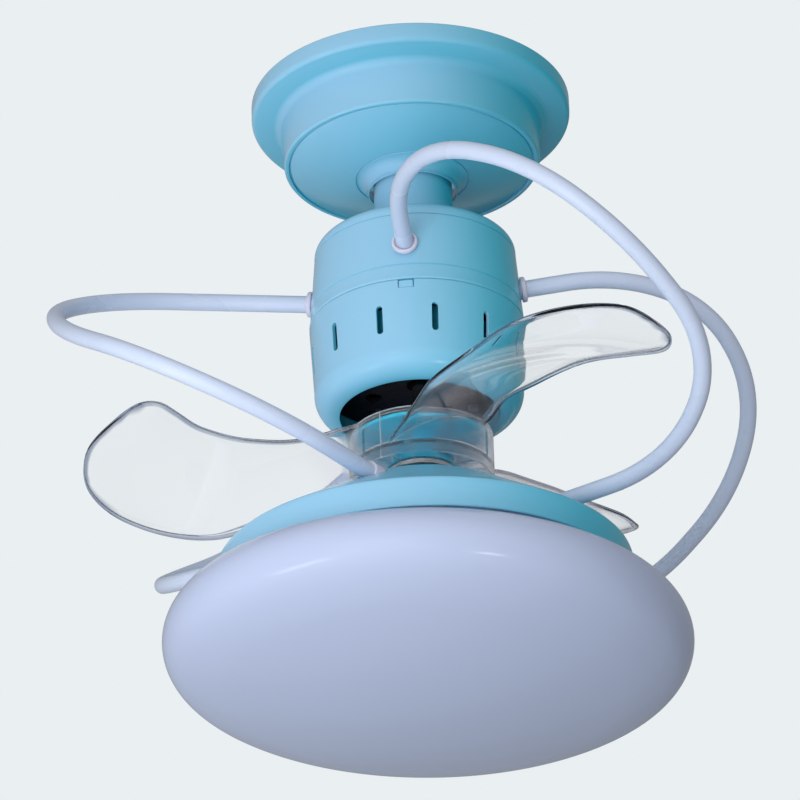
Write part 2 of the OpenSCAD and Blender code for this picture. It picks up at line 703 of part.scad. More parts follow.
// ================================= Lamp ======================================
cone_edge_r = rim_r - 2.2;
module lamp_pan() {
    outside = concat(
        [[0, z_pan_top], [pan_top_r - 2, z_pan_top], [pan_top_r, z_pan_top - 0.9]],
        [[cone_edge_r - 2, z_pan_edge + 1.2], [cone_edge_r, z_pan_edge - 1]],
        [[rim_r, z_rim_foot]]);
    inside = [[rim_r - pan_wall, z_rim_foot], [cone_edge_r - pan_wall, z_pan_edge - 1.6],
        [pan_top_r - 0.6, z_pan_top - pan_wall - 0.9], [pan_top_r - 2.2, z_pan_top - pan_wall], [0, z_pan_top - pan_wall]];
    foot = stay_corners[len(stay_corners) - 1];
    knee = stay_corners[len(stay_corners) - 2];
    color(paint_blue) difference() {
        spun(concat(outside, inside));
        for (k = [0:3]) rotate(stay_deg(k)) along(knee, foot)
            translate([0, 0, 70]) cylinder(r = lower_ferrule_r + 0.1, h = 60);
    }
}

// The strap hangs from the pan's top and carries the two sockets back to back
strap_w = 24;
strap_t = 1.5;
strap_reach = 54;
z_strap = -380;
socket_r = 17;
socket_len = 38;
z_socket = -398;
bulb_r = 30;
module socket_strap() {
    color(steel) union() {
        for (side = [-1, 1]) translate([side * strap_reach - (side > 0 ? strap_t : 0), -strap_w / 2, z_strap + 8])
            cube([strap_t, strap_w, z_pan_top - pan_wall - z_strap - 8 - 0.1]);
        translate([-strap_reach, -strap_w / 2, z_strap + 8]) cube([2 * strap_reach, strap_w, strap_t]);
        for (side = [-1, 1]) translate([side * 4 - strap_t / 2, -strap_w / 2, z_socket - 14])
            cube([strap_t, strap_w, z_strap + 8 - z_socket + 14 + eps]);
    }
}

module socket(side) {
    color(paint_white) translate([0, 0, z_socket]) rotate([0, side * 90, 0]) difference() {
        union() {
            translate([0, 0, 4.75]) cylinder(r = socket_r - 4, h = 12);
            translate([0, 0, 12]) cylinder(r = socket_r, h = socket_len - 12);
            translate([0, 0, socket_len - 3]) cylinder(r = socket_r + 1.5, h = 3);
        }
        translate([0, 0, 14]) cylinder(r = 13.6, h = socket_len);
    }
}
module socket_a() {
    socket(1);
}
module socket_b() {
    socket(-1);
}

module bulb(side) {
    profile = concat(
        [[0, 15], [4, 15], [5, 18], [13, 20], [13, 38], [15, 41]],
        [for (k = [0:4]) let (t = k / 4) [15 + (bulb_r - 15) * sin(90 * t) * 0.98, 44 + 32 * t]],
        arc([0, 80], bulb_r, 0, 90, 8));
    color(opal) translate([0, 0, z_socket]) rotate([0, side * 90, 0]) spun(profile);
}
module bulb_a() {
    bulb(1);
}
module bulb_b() {
    bulb(-1);
}

// Bayonet: three lugs on the dome's neck rest on three catches inside the rim
dome_neck_r = 137.5;
lug_r = 139.7;
lug_t = 3;
z_lug = -386;
lug_deg = 18;
catch_deg = 22;
function rim_inside_at(z) = cone_edge_r - pan_wall
    + (rim_r - cone_edge_r) * (z_pan_edge - 1.6 - z) / (z_pan_edge - 1.6 - z_rim_foot) - 0.02;
module dome_catches() {
    low = z_lug - gap - 1.5;
    high = z_lug + lug_t + 3;
    color(steel) around(3, 30) rotate(-catch_deg / 2) rotate_extrude(angle = catch_deg)
        polygon([[lug_r - 1.3, low], [rim_inside_at(low), low], [rim_inside_at(high), high],
            [lug_r + gap, high], [lug_r + gap, z_lug - gap], [lug_r - 1.3, z_lug - gap]]);
}

// The dome's outline is a chain of three arcs: a wide bottom, a round side and a shoulder
bottom_arc_r = 536;
side_arc_r = 29;
shoulder_arc_r = 20;
dome_r = 180;
z_dome_foot = -476;
function dome_half(t) = let (
    side_c = [dome_r - side_arc_r, z_dome_wide],
    low_c = [0, z_dome_foot + bottom_arc_r],
    shoulder_c = [dome_r - shoulder_arc_r, z_dome_wide],
    meet = atan2(side_c[1] - low_c[1], side_c[0] - low_c[0]))
    concat(
        arc(low_c, bottom_arc_r - t, -90, meet, 14),
        arc(side_c, side_arc_r - t, meet * 0.9, 0, 8),
        arc(shoulder_c, shoulder_arc_r - t, 12, 75, 6),
        [[dome_neck_r - t, z_rim_foot + 0.6 - t]],
        [[dome_neck_r - t, z_lug + lug_t]]);
module dome() {
    inner = dome_half(dome_wall);
    color(opal) union() {
        spun(concat(dome_half(0), [for (k = [len(inner) - 1:-1:0]) inner[k]]));
        around(3, 30) rotate(-lug_deg / 2) rotate_extrude(angle = lug_deg)
            translate([dome_neck_r - 1, z_lug]) square([lug_r - dome_neck_r + 1, lug_t]);
    }
}

ceiling_bracket();
flange_bolts();
flange_nuts();
downrod();
canopy_springs();
terminal_block();
capacitor();
canopy();
neck_sleeve();
upper_housing();
lower_housing();
rod_locknut();
upper_end_bell();
lower_end_bell();
stator_core();
stator_winding();
motor_screws();
upper_bearing();
lower_bearing();
rotor_core();
shaft();
hub_driver();
blade_1();
blade_2();
blade_3();
hub_clamp();
hub_screws();
hub_nut();
stay_front();
stay_right();
stay_back();
stay_left();
upper_ferrules();
lower_ferrules();
lamp_pan();
socket_strap();
socket_a();
socket_b();
bulb_a();
bulb_b();
dome_catches();
dome();
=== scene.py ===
# %% [markdown]
# # Dressing a compact ceiling fan
# The real object is a small ceiling fan. A pale blue canopy hides the ceiling bracket, a round motor
# housing hangs under it, and three clear blades turn below the motor. Four white bent tubes run round
# the blades and carry a round lamp with an opal dome. The solids come from a CAD model, so every
# piece made here takes its place from the same drawing, in metres, with +Z up into the ceiling.

# %% Load the solids
import json
import math

import bmesh
import bpy
import numpy as np
from mathutils import Matrix, Vector
from mathutils.bvhtree import BVHTree
from mathutils.interpolate import poly_3d_calc
from mathutils.kdtree import KDTree


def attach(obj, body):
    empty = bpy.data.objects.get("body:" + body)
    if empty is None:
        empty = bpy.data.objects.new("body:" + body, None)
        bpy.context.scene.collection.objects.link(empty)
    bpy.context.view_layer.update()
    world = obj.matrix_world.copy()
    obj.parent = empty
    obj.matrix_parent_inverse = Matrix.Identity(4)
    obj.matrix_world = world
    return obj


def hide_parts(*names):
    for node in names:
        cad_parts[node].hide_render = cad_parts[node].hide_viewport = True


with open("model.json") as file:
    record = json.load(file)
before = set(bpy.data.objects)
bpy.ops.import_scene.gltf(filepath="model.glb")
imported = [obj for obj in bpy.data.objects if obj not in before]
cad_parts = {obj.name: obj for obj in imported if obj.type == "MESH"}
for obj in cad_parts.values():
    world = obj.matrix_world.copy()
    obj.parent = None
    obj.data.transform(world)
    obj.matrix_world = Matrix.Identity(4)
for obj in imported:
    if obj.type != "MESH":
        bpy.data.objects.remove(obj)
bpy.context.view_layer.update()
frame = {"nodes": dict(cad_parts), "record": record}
MM = 0.001

# %% [markdown]
# ## The camera
# A ceiling fan is seen from below. A long lens far away keeps the round parts round, so the camera
# stands about three and a half metres off and looks up by 27 degrees. Its axes are written out as
# vectors: forward, right and up, with a small roll, which Blender takes as the columns of a matrix.

# %% Camera
camera_distance = 3.0684
camera_height = -1.8209
look_up, look_side, roll = 0.476586, -0.004381, -0.029433
round_the_fan = math.radians(5.2)

spin = Matrix.Rotation(round_the_fan, 3, "Z")
forward = spin @ Vector((math.sin(look_side) * math.cos(look_up),
                         math.cos(look_side) * math.cos(look_up), math.sin(look_up)))
right = spin @ Vector((math.cos(look_side), -math.sin(look_side), 0))
up = right.cross(forward)
across = right * math.cos(roll) + up * math.sin(roll)
upward = up * math.cos(roll) - right * math.sin(roll)
axes = Matrix((across, upward, -forward)).transposed().to_4x4()

camera_data = bpy.data.cameras.new("camera")
camera_data.sensor_width = 36
camera_data.lens = 225
camera_data.clip_start = 0.05
camera_data.clip_end = 60
camera = bpy.data.objects.new("camera", camera_data)
camera.matrix_world = Matrix.Translation(spin @ Vector((0, -camera_distance, camera_height))) @ axes
bpy.context.scene.collection.objects.link(camera)
bpy.context.scene.camera = camera
print("camera at", [round(v, 3) for v in camera.location])

# %% [markdown]
# ## Light and room
# The fan hangs in an ordinary pale room with windows at the front left. The sky of light is a sum of
# a few broad glows, each strongest in one direction and fading to nothing at right angles to it,
# which shades the round shells without hard shadows. Three large soft lamps, low at the front and at
# the left, add the daylight of the windows, and two small panels give the streaks of gloss. All of it
# is white, at a plain level. The camera sees the wall behind the fan as a plain pale backdrop of its
# own colour. Clear plastic shows the same wall, and gloss shows some of it where it looks that way.


# %% Helpers for nodes
def add(tree, kind, **settings):
    """A new node of a kind, with its settings."""
    node = tree.nodes.new(kind)
    for key, value in settings.items():
        setattr(node, key, value)
    return node


def calculated(tree, operation, *sources):
    """The result of a Math node; each source is a socket or a plain number."""
    node = add(tree, "ShaderNodeMath", operation=operation)
    for slot, source in zip(node.inputs, sources):
        if isinstance(source, (int, float)):
            slot.default_value = source
        else:
            tree.links.new(source, slot)
    return node.outputs[0]


def turned_towards(tree, kind, direction):
    """How far a direction of the texture coordinates points along another one, from -1 to 1."""
    place = add(tree, "ShaderNodeTexCoord")
    dot = add(tree, "ShaderNodeVectorMath", operation="DOT_PRODUCT")
    dot.inputs[1].default_value = direction
    tree.links.new(place.outputs[kind], dot.inputs[0])
    return dot.outputs["Value"]


def pointing(azimuth, height):
    """A direction from two angles in degrees: round the fan, and above the level."""
    a = math.radians(azimuth)
    h = math.radians(height)
    return Vector((math.cos(h) * math.cos(a), math.cos(h) * math.sin(a), math.sin(h)))


print("node helpers ready")

# %% Room
backdrop_colour = (0.823, 0.863, 0.888, 1)
sky = [((315, -30), 0.25), ((150, 30), 0.03), ((210, 30), 0.28), ((270, 30), 0.30), ((330, 30), 0.27)]
wall_in_gloss = 0.35
world = bpy.data.worlds.new("studio")
bpy.context.scene.world = world
world.use_nodes = True
room = world.node_tree
room.nodes.clear()
rays = add(room, "ShaderNodeLightPath")
wall = add(room, "ShaderNodeBackground")
wall.inputs["Color"].default_value = backdrop_colour
lighting = add(room, "ShaderNodeBackground")
lighting.inputs["Color"].default_value = (1, 1, 1, 1)
glow = 0.0
for angles, strength in sky:
    facing_it = calculated(room, "MAXIMUM", turned_towards(room, "Generated", pointing(*angles)), 0.0)
    glow = calculated(room, "MULTIPLY_ADD", facing_it, strength, glow)
room.links.new(glow, lighting.inputs["Strength"])

# The wall stands behind the fan as the camera sees it, and fades out softly at the sides
to_wall = calculated(room, "MULTIPLY_ADD", turned_towards(room, "Generated", forward), 1.6, 0.2)
behind = calculated(room, "SMOOTH_MIN", calculated(room, "MAXIMUM", to_wall, 0.0), 1.0, 0.1)
glossy = calculated(room, "MULTIPLY", rays.outputs["Is Glossy Ray"], wall_in_gloss)
direct = calculated(room, "MAXIMUM", rays.outputs["Is Camera Ray"], rays.outputs["Is Transmission Ray"])
shown = calculated(room, "MAXIMUM", direct, calculated(room, "MULTIPLY", glossy, behind))
choose = add(room, "ShaderNodeMixShader")
world_out = add(room, "ShaderNodeOutputWorld")
room.links.new(shown, choose.inputs[0])
room.links.new(lighting.outputs[0], choose.inputs[1])
room.links.new(wall.outputs[0], choose.inputs[2])
room.links.new(choose.outputs[0], world_out.inputs["Surface"])
print("room with", len(sky), "glows")

# %% Lamps
fan_middle = Vector((0, 0, -0.24))


def soft_panel(name, direction, distance, size, watts, mirrored=True):
    """A flat lamp, width by height, that looks at the middle of the fan; gloss may mirror it or not."""
    data = bpy.data.lights.new(name, "AREA")
    data.shape = "RECTANGLE"
    data.size, data.size_y = size
    data.energy = watts
    lamp = bpy.data.objects.new(name, data)
    lamp.location = fan_middle + Vector(direction).normalized() * distance
    lamp.rotation_mode = "QUATERNION"
    lamp.rotation_quaternion = (fan_middle - lamp.location).to_track_quat("-Z", "Y")
    lamp.visible_glossy = mirrored
    bpy.context.scene.collection.objects.link(lamp)


window_size = (0.8, 0.8)
soft_panel("window_front", pointing(-105, -25), 1.3, window_size, 9.3, False)
soft_panel("window_low", pointing(-135, -60), 1.3, window_size, 2.9, False)
soft_panel("window_left", pointing(180, -30), 1.0, window_size, 2.0, False)
soft_panel("panel_left", (-0.626, -0.467, -0.624), 2.5, (1.0, 0.25), 4.2)
soft_panel("panel_front", (0.395, -0.595, -0.700), 2.5, (0.34, 0.12), 2.3)

# %% [markdown]
# ## Turning profiles into shells
# Canopy, housing, pan and dome are all turned parts, so one helper does for each of them: it takes
# an outline in millimetres as (radius, height) and spins it. Arcs in the outline get many short
# steps, and only corners sharper than 35 degrees stay sharp, so that light runs round the fillets.


# %% Helpers for turned parts
def arc(centre, radius, start, end, steps=10):
    """Points of an arc in an outline; angles in degrees."""
    turn = np.radians(np.linspace(start, end, steps + 1))
    return [(centre[0] + radius * math.cos(a), centre[1] + radius * math.sin(a)) for a in turn]


def as_piece(bm, name):
    """Puts a finished bmesh in the scene as a piece, all its faces turned outwards."""
    bmesh.ops.recalc_face_normals(bm, faces=bm.faces)
    mesh = bpy.data.meshes.new(name)
    bm.to_mesh(mesh)
    bm.free()
    mesh.update()
    mesh.validate()
    piece = bpy.data.objects.new(name, mesh)
    bpy.context.scene.collection.objects.link(piece)
    return piece


def band(bm, one, two):
    """A closed band of faces between two rows of points."""
    for k in range(len(one)):
        n = (k + 1) % len(one)
        bm.faces.new((one[k], one[n], two[n], two[k]))


def smooth(piece, degrees=35):
    """Smooth shading that keeps only the corners sharper than an angle."""
    piece.data.shade_smooth()
    piece.data.set_sharp_from_angle(angle=math.radians(degrees))
    return piece


def spun(name, outline, segments=180, start=0.0, sweep=360.0):
    """Spins a closed outline about Z. A sweep below 360 degrees gets end caps."""
    whole = sweep >= 360
    rows = segments if whole else segments + 1
    bm = bmesh.new()
    rings = []
    for k in range(rows):
        a = math.radians(start + sweep * k / segments)
        rings.append([bm.verts.new((r * math.cos(a) * MM, r * math.sin(a) * MM, z * MM)) for r, z in outline])
    for k in range(segments):
        band(bm, rings[k], rings[(k + 1) % rows])
    if not whole:
        bm.faces.new(rings[0])
        bm.faces.new(list(reversed(rings[-1])))
    bmesh.ops.remove_doubles(bm, verts=bm.verts, dist=1e-7)
    bmesh.ops.dissolve_degenerate(bm, edges=bm.edges, dist=1e-7)
    return smooth(as_piece(bm, name))


def box_at(name, low, high):
    """A plain block between two corners in millimetres, used as a cutter or as a rib."""
    bm = bmesh.new()
    bmesh.ops.create_cube(bm, size=1)
    low = Vector(low) * MM
    high = Vector(high) * MM
    for v in bm.verts:
        v.co = Vector(((v.co[i] + 0.5) * (high[i] - low[i]) + low[i] for i in range(3)))
    return as_piece(bm, name)


def turned(piece, degrees):
    """Turns a piece round the axis of the fan."""
    piece.data.transform(Matrix.Rotation(math.radians(degrees), 4, "Z"))
    return piece


print("helpers for turned parts ready")

# %% [markdown]
# ## Cutting holes without spoiling the shine
# A boolean cuts exact holes, but it leaves long thin faces round them, whose flat shading would show
# as streaks on a glossy shell. So each corner that still lies on the uncut surface takes back the
# smooth normal which that surface has there.


# %% Booleans that keep the round shading
def boolean(piece, tools, operation="DIFFERENCE"):
    """Cuts or joins with other pieces, which are used up, and keeps the round shading of the walls."""
    before = piece.data.copy()
    for tool in tools:
        modifier = piece.modifiers.new("cut", "BOOLEAN")
        modifier.operation = operation
        modifier.solver = "EXACT"
        modifier.object = tool
    graph = bpy.context.evaluated_depsgraph_get()
    mesh = bpy.data.meshes.new_from_object(piece.evaluated_get(graph))
    piece.modifiers.clear()
    piece.data = mesh
    for tool in tools:
        bpy.data.objects.remove(tool)
    smooth(piece)
    keep_round_shading(mesh, before)
    return piece


def keep_round_shading(mesh, before):
    """Where a face still lies on the uncut surface, its corners take that surface's smooth normals."""
    lean_inwards = 0.02
    touching = 4e-5
    same_side = 0.9
    before.calc_loop_triangles()
    corners = np.zeros(len(before.corner_normals) * 3, np.float32)
    before.corner_normals.foreach_get("vector", corners)
    corners = corners.reshape(-1, 3)
    triangles = list(before.loop_triangles)
    places = [v.co.copy() for v in before.vertices]
    tree = BVHTree.FromPolygons(places, [tuple(t.vertices) for t in triangles])
    now = np.zeros(len(mesh.corner_normals) * 3, np.float32)
    mesh.corner_normals.foreach_get("vector", now)
    now = now.reshape(-1, 3)
    for face in mesh.polygons:
        for c in face.loop_indices:
            spot = mesh.vertices[mesh.loops[c].vertex_index].co
            found, _, index, distance = tree.find_nearest(spot.lerp(face.center, lean_inwards))
            if index is None or distance > touching:
                continue
            t = triangles[index]
            weights = poly_3d_calc([places[v] for v in t.vertices], found)
            normal = sum((Vector(corners[t.loops[i]]) * weights[i] for i in range(3)), Vector()).normalized()
            if normal.dot(face.normal) > same_side:
                now[c] = normal
    mesh.normals_split_custom_set(now.tolist())


def along(a, b):
    """The matrix that sends +Z to run from point a towards point b, both in millimetres."""
    z = (Vector(b) - Vector(a)).normalized()
    x = Vector((0, 0, 1)).cross(z).normalized()
    return Matrix.Translation(Vector(a) * MM) @ Matrix((x, z.cross(x), z)).transposed().to_4x4()


print("helpers for cutting and placing ready")

# %% [markdown]
# ## Surface effects that several finishes share
# Moulded plastic, paint and metal all have a very fine skin and faint changes of tone. Each effect
# is a node group with named sockets, built once and placed with its own values where it is needed.
# The groups put out only colours, masks and heights; the shader itself stays in the material.


# %% Helpers for finishes
def new_group(name, inputs, outputs):
    """A node group whose sockets carry plain numbers, with the nodes of its inputs and its outputs."""
    group = bpy.data.node_groups.new(name, "ShaderNodeTree")
    for label, value in inputs.items():
        socket = group.interface.new_socket(name=label, in_out="INPUT", socket_type="NodeSocketFloat")
        socket.default_value = value
    for label in outputs:
        group.interface.new_socket(name=label, in_out="OUTPUT", socket_type="NodeSocketFloat")
    return group, group.nodes.new("NodeGroupInput"), group.nodes.new("NodeGroupOutput")


def ranged(tree, source, start, end, low=0.0, high=1.0, **settings):
    """A value that runs from low to high while the source runs from start to end."""
    node = add(tree, "ShaderNodeMapRange", **settings)
    for label, value in (("From Min", start), ("From Max", end), ("To Min", low), ("To Max", high)):
        node.inputs[label].default_value = value
    tree.links.new(source, node.inputs["Value"])
    return node.outputs[0]


def mixed(tree, share, first, second):
    """A colour that passes from the first to the second; each is a socket or a plain colour."""
    mix = add(tree, "ShaderNodeMix", data_type="RGBA")
    tree.links.new(share, mix.inputs["Factor"])
    for label, source in (("A", first), ("B", second)):
        if isinstance(source, tuple):
            mix.inputs[label].default_value = (*source, 1)
        else:
            tree.links.new(source, mix.inputs[label])
    return mix.outputs["Result"]


def from_axis(tree):
    """How far a point of the surface is from the axis of the fan, in metres."""
    place = add(tree, "ShaderNodeTexCoord")
    flat = add(tree, "ShaderNodeVectorMath", operation="MULTIPLY")
    flat.inputs[1].default_value = (1, 1, 0)
    length = add(tree, "ShaderNodeVectorMath", operation="LENGTH")
    tree.links.new(place.outputs["Object"], flat.inputs[0])
    tree.links.new(flat.outputs[0], length.inputs[0])
    return length.outputs["Value"]


print("helpers for finishes ready")

# %% Shared node groups
# Fine skin: a small orange-peel height and slow patches of tone
skin_group, gi, go = new_group("fine_skin", {"Peel Scale": 900.0, "Patch Scale": 14.0}, ["Height", "Patches"])
place = add(skin_group, "ShaderNodeTexCoord")
peel = add(skin_group, "ShaderNodeTexNoise")
peel.inputs["Detail"].default_value = 2
patch = add(skin_group, "ShaderNodeTexNoise")
patch.inputs["Detail"].default_value = 3
patch.inputs["Roughness"].default_value = 0.55
for texture, scale, result in ((peel, "Peel Scale", "Height"), (patch, "Patch Scale", "Patches")):
    skin_group.links.new(place.outputs["Object"], texture.inputs["Vector"])
    skin_group.links.new(gi.outputs[scale], texture.inputs["Scale"])
    skin_group.links.new(texture.outputs[0], go.inputs[result])

# Edge wear and painted highlight: a mask that is high on outward corners and nought on flats, broken up by
# noise
edge_wear_highlight_group, gi, go = new_group("wear_and_highlight_edge", {"Start": 0.53, "Full": 0.62}, ["Mask"])
shape = add(edge_wear_highlight_group, "ShaderNodeNewGeometry")
place = add(edge_wear_highlight_group, "ShaderNodeTexCoord")
broken = add(edge_wear_highlight_group, "ShaderNodeTexNoise")
broken.inputs["Scale"].default_value = 160
reach = add(edge_wear_highlight_group, "ShaderNodeMapRange")
edge_wear_highlight_group.links.new(place.outputs["Object"], broken.inputs["Vector"])
edge_wear_highlight_group.links.new(shape.outputs["Pointiness"], reach.inputs["Value"])
edge_wear_highlight_group.links.new(gi.outputs["Start"], reach.inputs["From Min"])
edge_wear_highlight_group.links.new(gi.outputs["Full"], reach.inputs["From Max"])
mask = calculated(edge_wear_highlight_group, "MULTIPLY", reach.outputs[0], broken.outputs[0])
edge_wear_highlight_group.links.new(mask, go.inputs["Mask"])

# Turned metal: rings round the Z axis, as a lathe or a grinder leaves them
ring_group, gi, go = new_group("turned_rings", {"Rings": 2500.0}, ["Height"])
place = add(ring_group, "ShaderNodeTexCoord")
split = add(ring_group, "ShaderNodeSeparateXYZ")
rings = add(ring_group, "ShaderNodeTexNoise", noise_dimensions="1D")
ring_group.links.new(place.outputs["Object"], split.inputs[0])
out_and_up = calculated(ring_group, "ADD", from_axis(ring_group), split.outputs["Z"])
ring_group.links.new(out_and_up, rings.inputs["W"])
ring_group.links.new(gi.outputs["Rings"], rings.inputs["Scale"])
ring_group.links.new(rings.outputs[0], go.inputs["Height"])
print("groups:", [g.name for g in bpy.data.node_groups])

# %% [markdown]
# ## Finishes
# Every finish is a Principled BSDF fed by the groups above. The blue shells are satin moulded plastic
# with a fine peel and slow patches, and painted shade turns them deeper and greener away from the windows.
# Values that are the same all over sit on the shader's own sockets.


# %% A material with the shared skin
def finish(name, colour, other, rough, peel=900.0, bump=0.02, edge=None, patch_scale=14.0, rough_swing=0.08,
           mottling=0.35, **sockets):
    """A shader whose colour drifts between two tones, with its own peel, edge tone and plain sockets."""
    material = bpy.data.materials.new(name)
    material.use_nodes = True
    tree = material.node_tree
    shader = tree.nodes["Principled BSDF"]
    skin = add(tree, "ShaderNodeGroup", node_tree=skin_group)
    skin.inputs["Peel Scale"].default_value = peel
    skin.inputs["Patch Scale"].default_value = patch_scale
    patches = skin.outputs["Patches"]
    tone = mixed(tree, ranged(tree, patches, 0.5 - mottling, 0.5 + mottling), colour, other)
    # Lighter outward corners: partly wear, partly a painted highlight
    if edge is not None:
        wear_and_highlight = add(tree, "ShaderNodeGroup", node_tree=edge_wear_highlight_group)
        tone = mixed(tree, wear_and_highlight.outputs["Mask"], tone, edge)
    tree.links.new(tone, shader.inputs["Base Color"])
    gloss = ranged(tree, patches, 0.0, 1.0, rough - rough_swing, rough + rough_swing)
    tree.links.new(gloss, shader.inputs["Roughness"])
    relief = add(tree, "ShaderNodeBump")
    relief.inputs["Strength"].default_value = bump
    relief.inputs["Distance"].default_value = 0.0004
    tree.links.new(skin.outputs["Height"], relief.inputs["Height"])
    tree.links.new(relief.outputs[0], shader.inputs["Normal"])
    for key, value in sockets.items():
        shader.inputs[key.replace("_", " ")].default_value = value
    return material


shell_blue = finish("shell_blue", (0.285, 0.568, 0.790), (0.295, 0.575, 0.796), 0.18, peel=1400, bump=0.06,
                    rough_swing=0.03, Specular_IOR_Level=0.35)
tube_white = finish("tube_white", (0.540, 0.622, 0.800), (0.560, 0.640, 0.812), 0.28, peel=700, bump=0.06,
                    Specular_IOR_Level=0.5)
trim_white = finish("trim_white", (0.60, 0.60, 0.74), (0.63, 0.63, 0.76), 0.36, peel=900, bump=0.08,
                    edge=(0.72, 0.72, 0.82), Specular_IOR_Level=0.45)
dome_opal = finish("dome_opal", (0.415, 0.480, 0.664), (0.427, 0.490, 0.672), 0.16, peel=300, bump=0.01,
                   patch_scale=5.0, rough_swing=0.02, Specular_IOR_Level=0.35)


def paint_shade_by_facing(material, other, direction, start, full):
    """Paints shade into the base colour: it passes over into another one where the surface turns away from a
    direction.
    """
    tree = material.node_tree
    base = tree.nodes["Principled BSDF"].inputs["Base Color"]
    facing = turned_towards(tree, "Normal", direction)
    share = ranged(tree, facing, start, full, interpolation_type="SMOOTHSTEP")
    tree.links.new(mixed(tree, share, other, base.links[0].from_socket), base)


# Painted shade: the blue stays pale where the windows' light falls and turns deeper and greener on the side
# turned away
paint_shade_by_facing(shell_blue, (0.0005, 0.420, 0.575), (-0.771, -0.637, -0.013), -0.70, 0.95)
print("shell finishes made")

# %% [markdown]
# ## Clear plastic
# The blades are clear plastic. A Principled shader with full transmission bends light like the real
# material, and the wide faces are almost without tint, so a pale wall shows through them unchanged.
# Two places are darker. The rim carries painted shade, grey with a touch of violet, where the eye looks along
# the plastic: each blade mesh carries a value named "rim", which is 1 on the bead and 0 on the faces.
# Towards the hub the plastic is a touch greyer, which goes by the distance from the axis, and the
# drum itself is finely ground, so what lies behind it looks blurred. Household dust settles in a film
# on a blade that has stood still for long; a value named "haze" on the mesh says where it lies, from
# the drum to about the middle of one blade.

# %% Clear blade finish
blade_clear = finish("blade_clear", (0.990, 0.993, 0.996), (0.996, 0.998, 1.000), 0.03, peel=60, bump=0.02,
                     patch_scale=8.0, rough_swing=0.02, Transmission_Weight=1.0, IOR=1.30)
smoky_tone = (0.945, 0.930, 0.955)
dusty_tone = (0.86, 0.80, 0.82)
rim_painted_shade = (0.36, 0.40, 0.50)
tree = blade_clear.node_tree
shader = tree.nodes["Principled BSDF"]
base = shader.inputs["Base Color"]
roughness = shader.inputs["Roughness"]
distance = from_axis(tree)
haze = add(tree, "ShaderNodeAttribute", attribute_name="haze").outputs["Fac"]
rim = add(tree, "ShaderNodeAttribute", attribute_name="rim").outputs["Fac"]
near_hub = ranged(tree, distance, 0.085, 0.062, interpolation_type="SMOOTHSTEP")
tone = mixed(tree, near_hub, base.links[0].from_socket, smoky_tone)
tone = mixed(tree, haze, tone, dusty_tone)
# Painted shade along the rim
tone = mixed(tree, rim, tone, rim_painted_shade)
tree.links.new(tone, base)

# Dust and the ground surface of the drum blur what lies behind them
ground_roughness = 0.32
dust_roughness = 0.42
ground = ranged(tree, distance, 0.062, 0.052, 0.0, ground_roughness)
blurred = calculated(tree, "MAXIMUM", ground, calculated(tree, "MULTIPLY", haze, dust_roughness))
tree.links.new(calculated(tree, "MAXIMUM", blurred, roughness.links[0].from_socket), roughness)

# Light falls through clear plastic on what lies behind it: only shadow rays take this way
shadow = add(tree, "ShaderNodeLightPath")
let_through = add(tree, "ShaderNodeBsdfTransparent")
let_through.inputs["Color"].default_value = (0.93, 0.94, 0.96, 1)
by_ray = add(tree, "ShaderNodeMixShader")
tree.links.new(shadow.outputs["Is Shadow Ray"], by_ray.inputs[0])
tree.links.new(shader.outputs[0], by_ray.inputs[1])
tree.links.new(let_through.outputs[0], by_ray.inputs[2])
tree.links.new(by_ray.outputs[0], tree.nodes["Material Output"].inputs["Surface"])
print("clear finish made")

# %% [markdown]
# ## Metals and small parts
# Under the covers there are zinc-plated steel, a motor case that is black below and blue round its
# side, dark laminations, copper windings and ground bright steel. They share the skin group, and
# the turned parts add the rings of a lathe.


# %% Metal finishes
def metal(name, colour, other, rough, rings_scale=None, bump=0.05, **more):
    """A metal, with the rings of a lathe where a scale is given for them."""
    material = finish(name, colour, other, rough, peel=1800, bump=bump, patch_scale=40.0, rough_swing=0.10,
                      mottling=0.22, Metallic=1.0, **more)
    if rings_scale:
        tree = material.node_tree
        rings = add(tree, "ShaderNodeGroup", node_tree=ring_group)
        rings.inputs["Rings"].default_value = rings_scale
        relief = add(tree, "ShaderNodeBump")
        relief.inputs["Strength"].default_value = 0.25
        relief.inputs["Distance"].default_value = 0.0002
        tree.links.new(rings.outputs["Height"], relief.inputs["Height"])
        tree.links.new(relief.outputs[0], tree.nodes["Principled BSDF"].inputs["Normal"])
    return material


zinc = metal("zinc_plate", (0.30, 0.31, 0.33), (0.36, 0.36, 0.35), 0.42, edge=(0.50, 0.50, 0.50))
bright = metal("bright_steel", (0.68, 0.69, 0.71), (0.74, 0.75, 0.76), 0.20, rings_scale=2600)
laminated = metal("laminations", (0.24, 0.24, 0.26), (0.32, 0.31, 0.32), 0.42, rings_scale=2000)
copper = metal("copper_wire", (0.62, 0.25, 0.11), (0.72, 0.34, 0.16), 0.30, rings_scale=900)
print("metals made")

# %% Motor case and plastics
dark_case = finish("dark_case", (0.003, 0.003, 0.006), (0.005, 0.006, 0.010), 0.60, peel=500, bump=0.4,
                   edge=(0.02, 0.02, 0.03), Specular_IOR_Level=0.12)

# The side of the motor case is blue like the shells; its ends and its inside are black
case_side_blue = (0.05, 0.66, 0.90)
inside_r = 0.0525
least_upward = -0.4
tree = dark_case.node_tree
base = tree.nodes["Principled BSDF"].inputs["Base Color"]
outside = calculated(tree, "GREATER_THAN", from_axis(tree), inside_r)
not_below = calculated(tree, "GREATER_THAN", turned_towards(tree, "Normal", (0, 0, 1)), least_upward)
painted = calculated(tree, "MULTIPLY", outside, not_below)
tree.links.new(mixed(tree, painted, base.links[0].from_socket, case_side_blue), base)

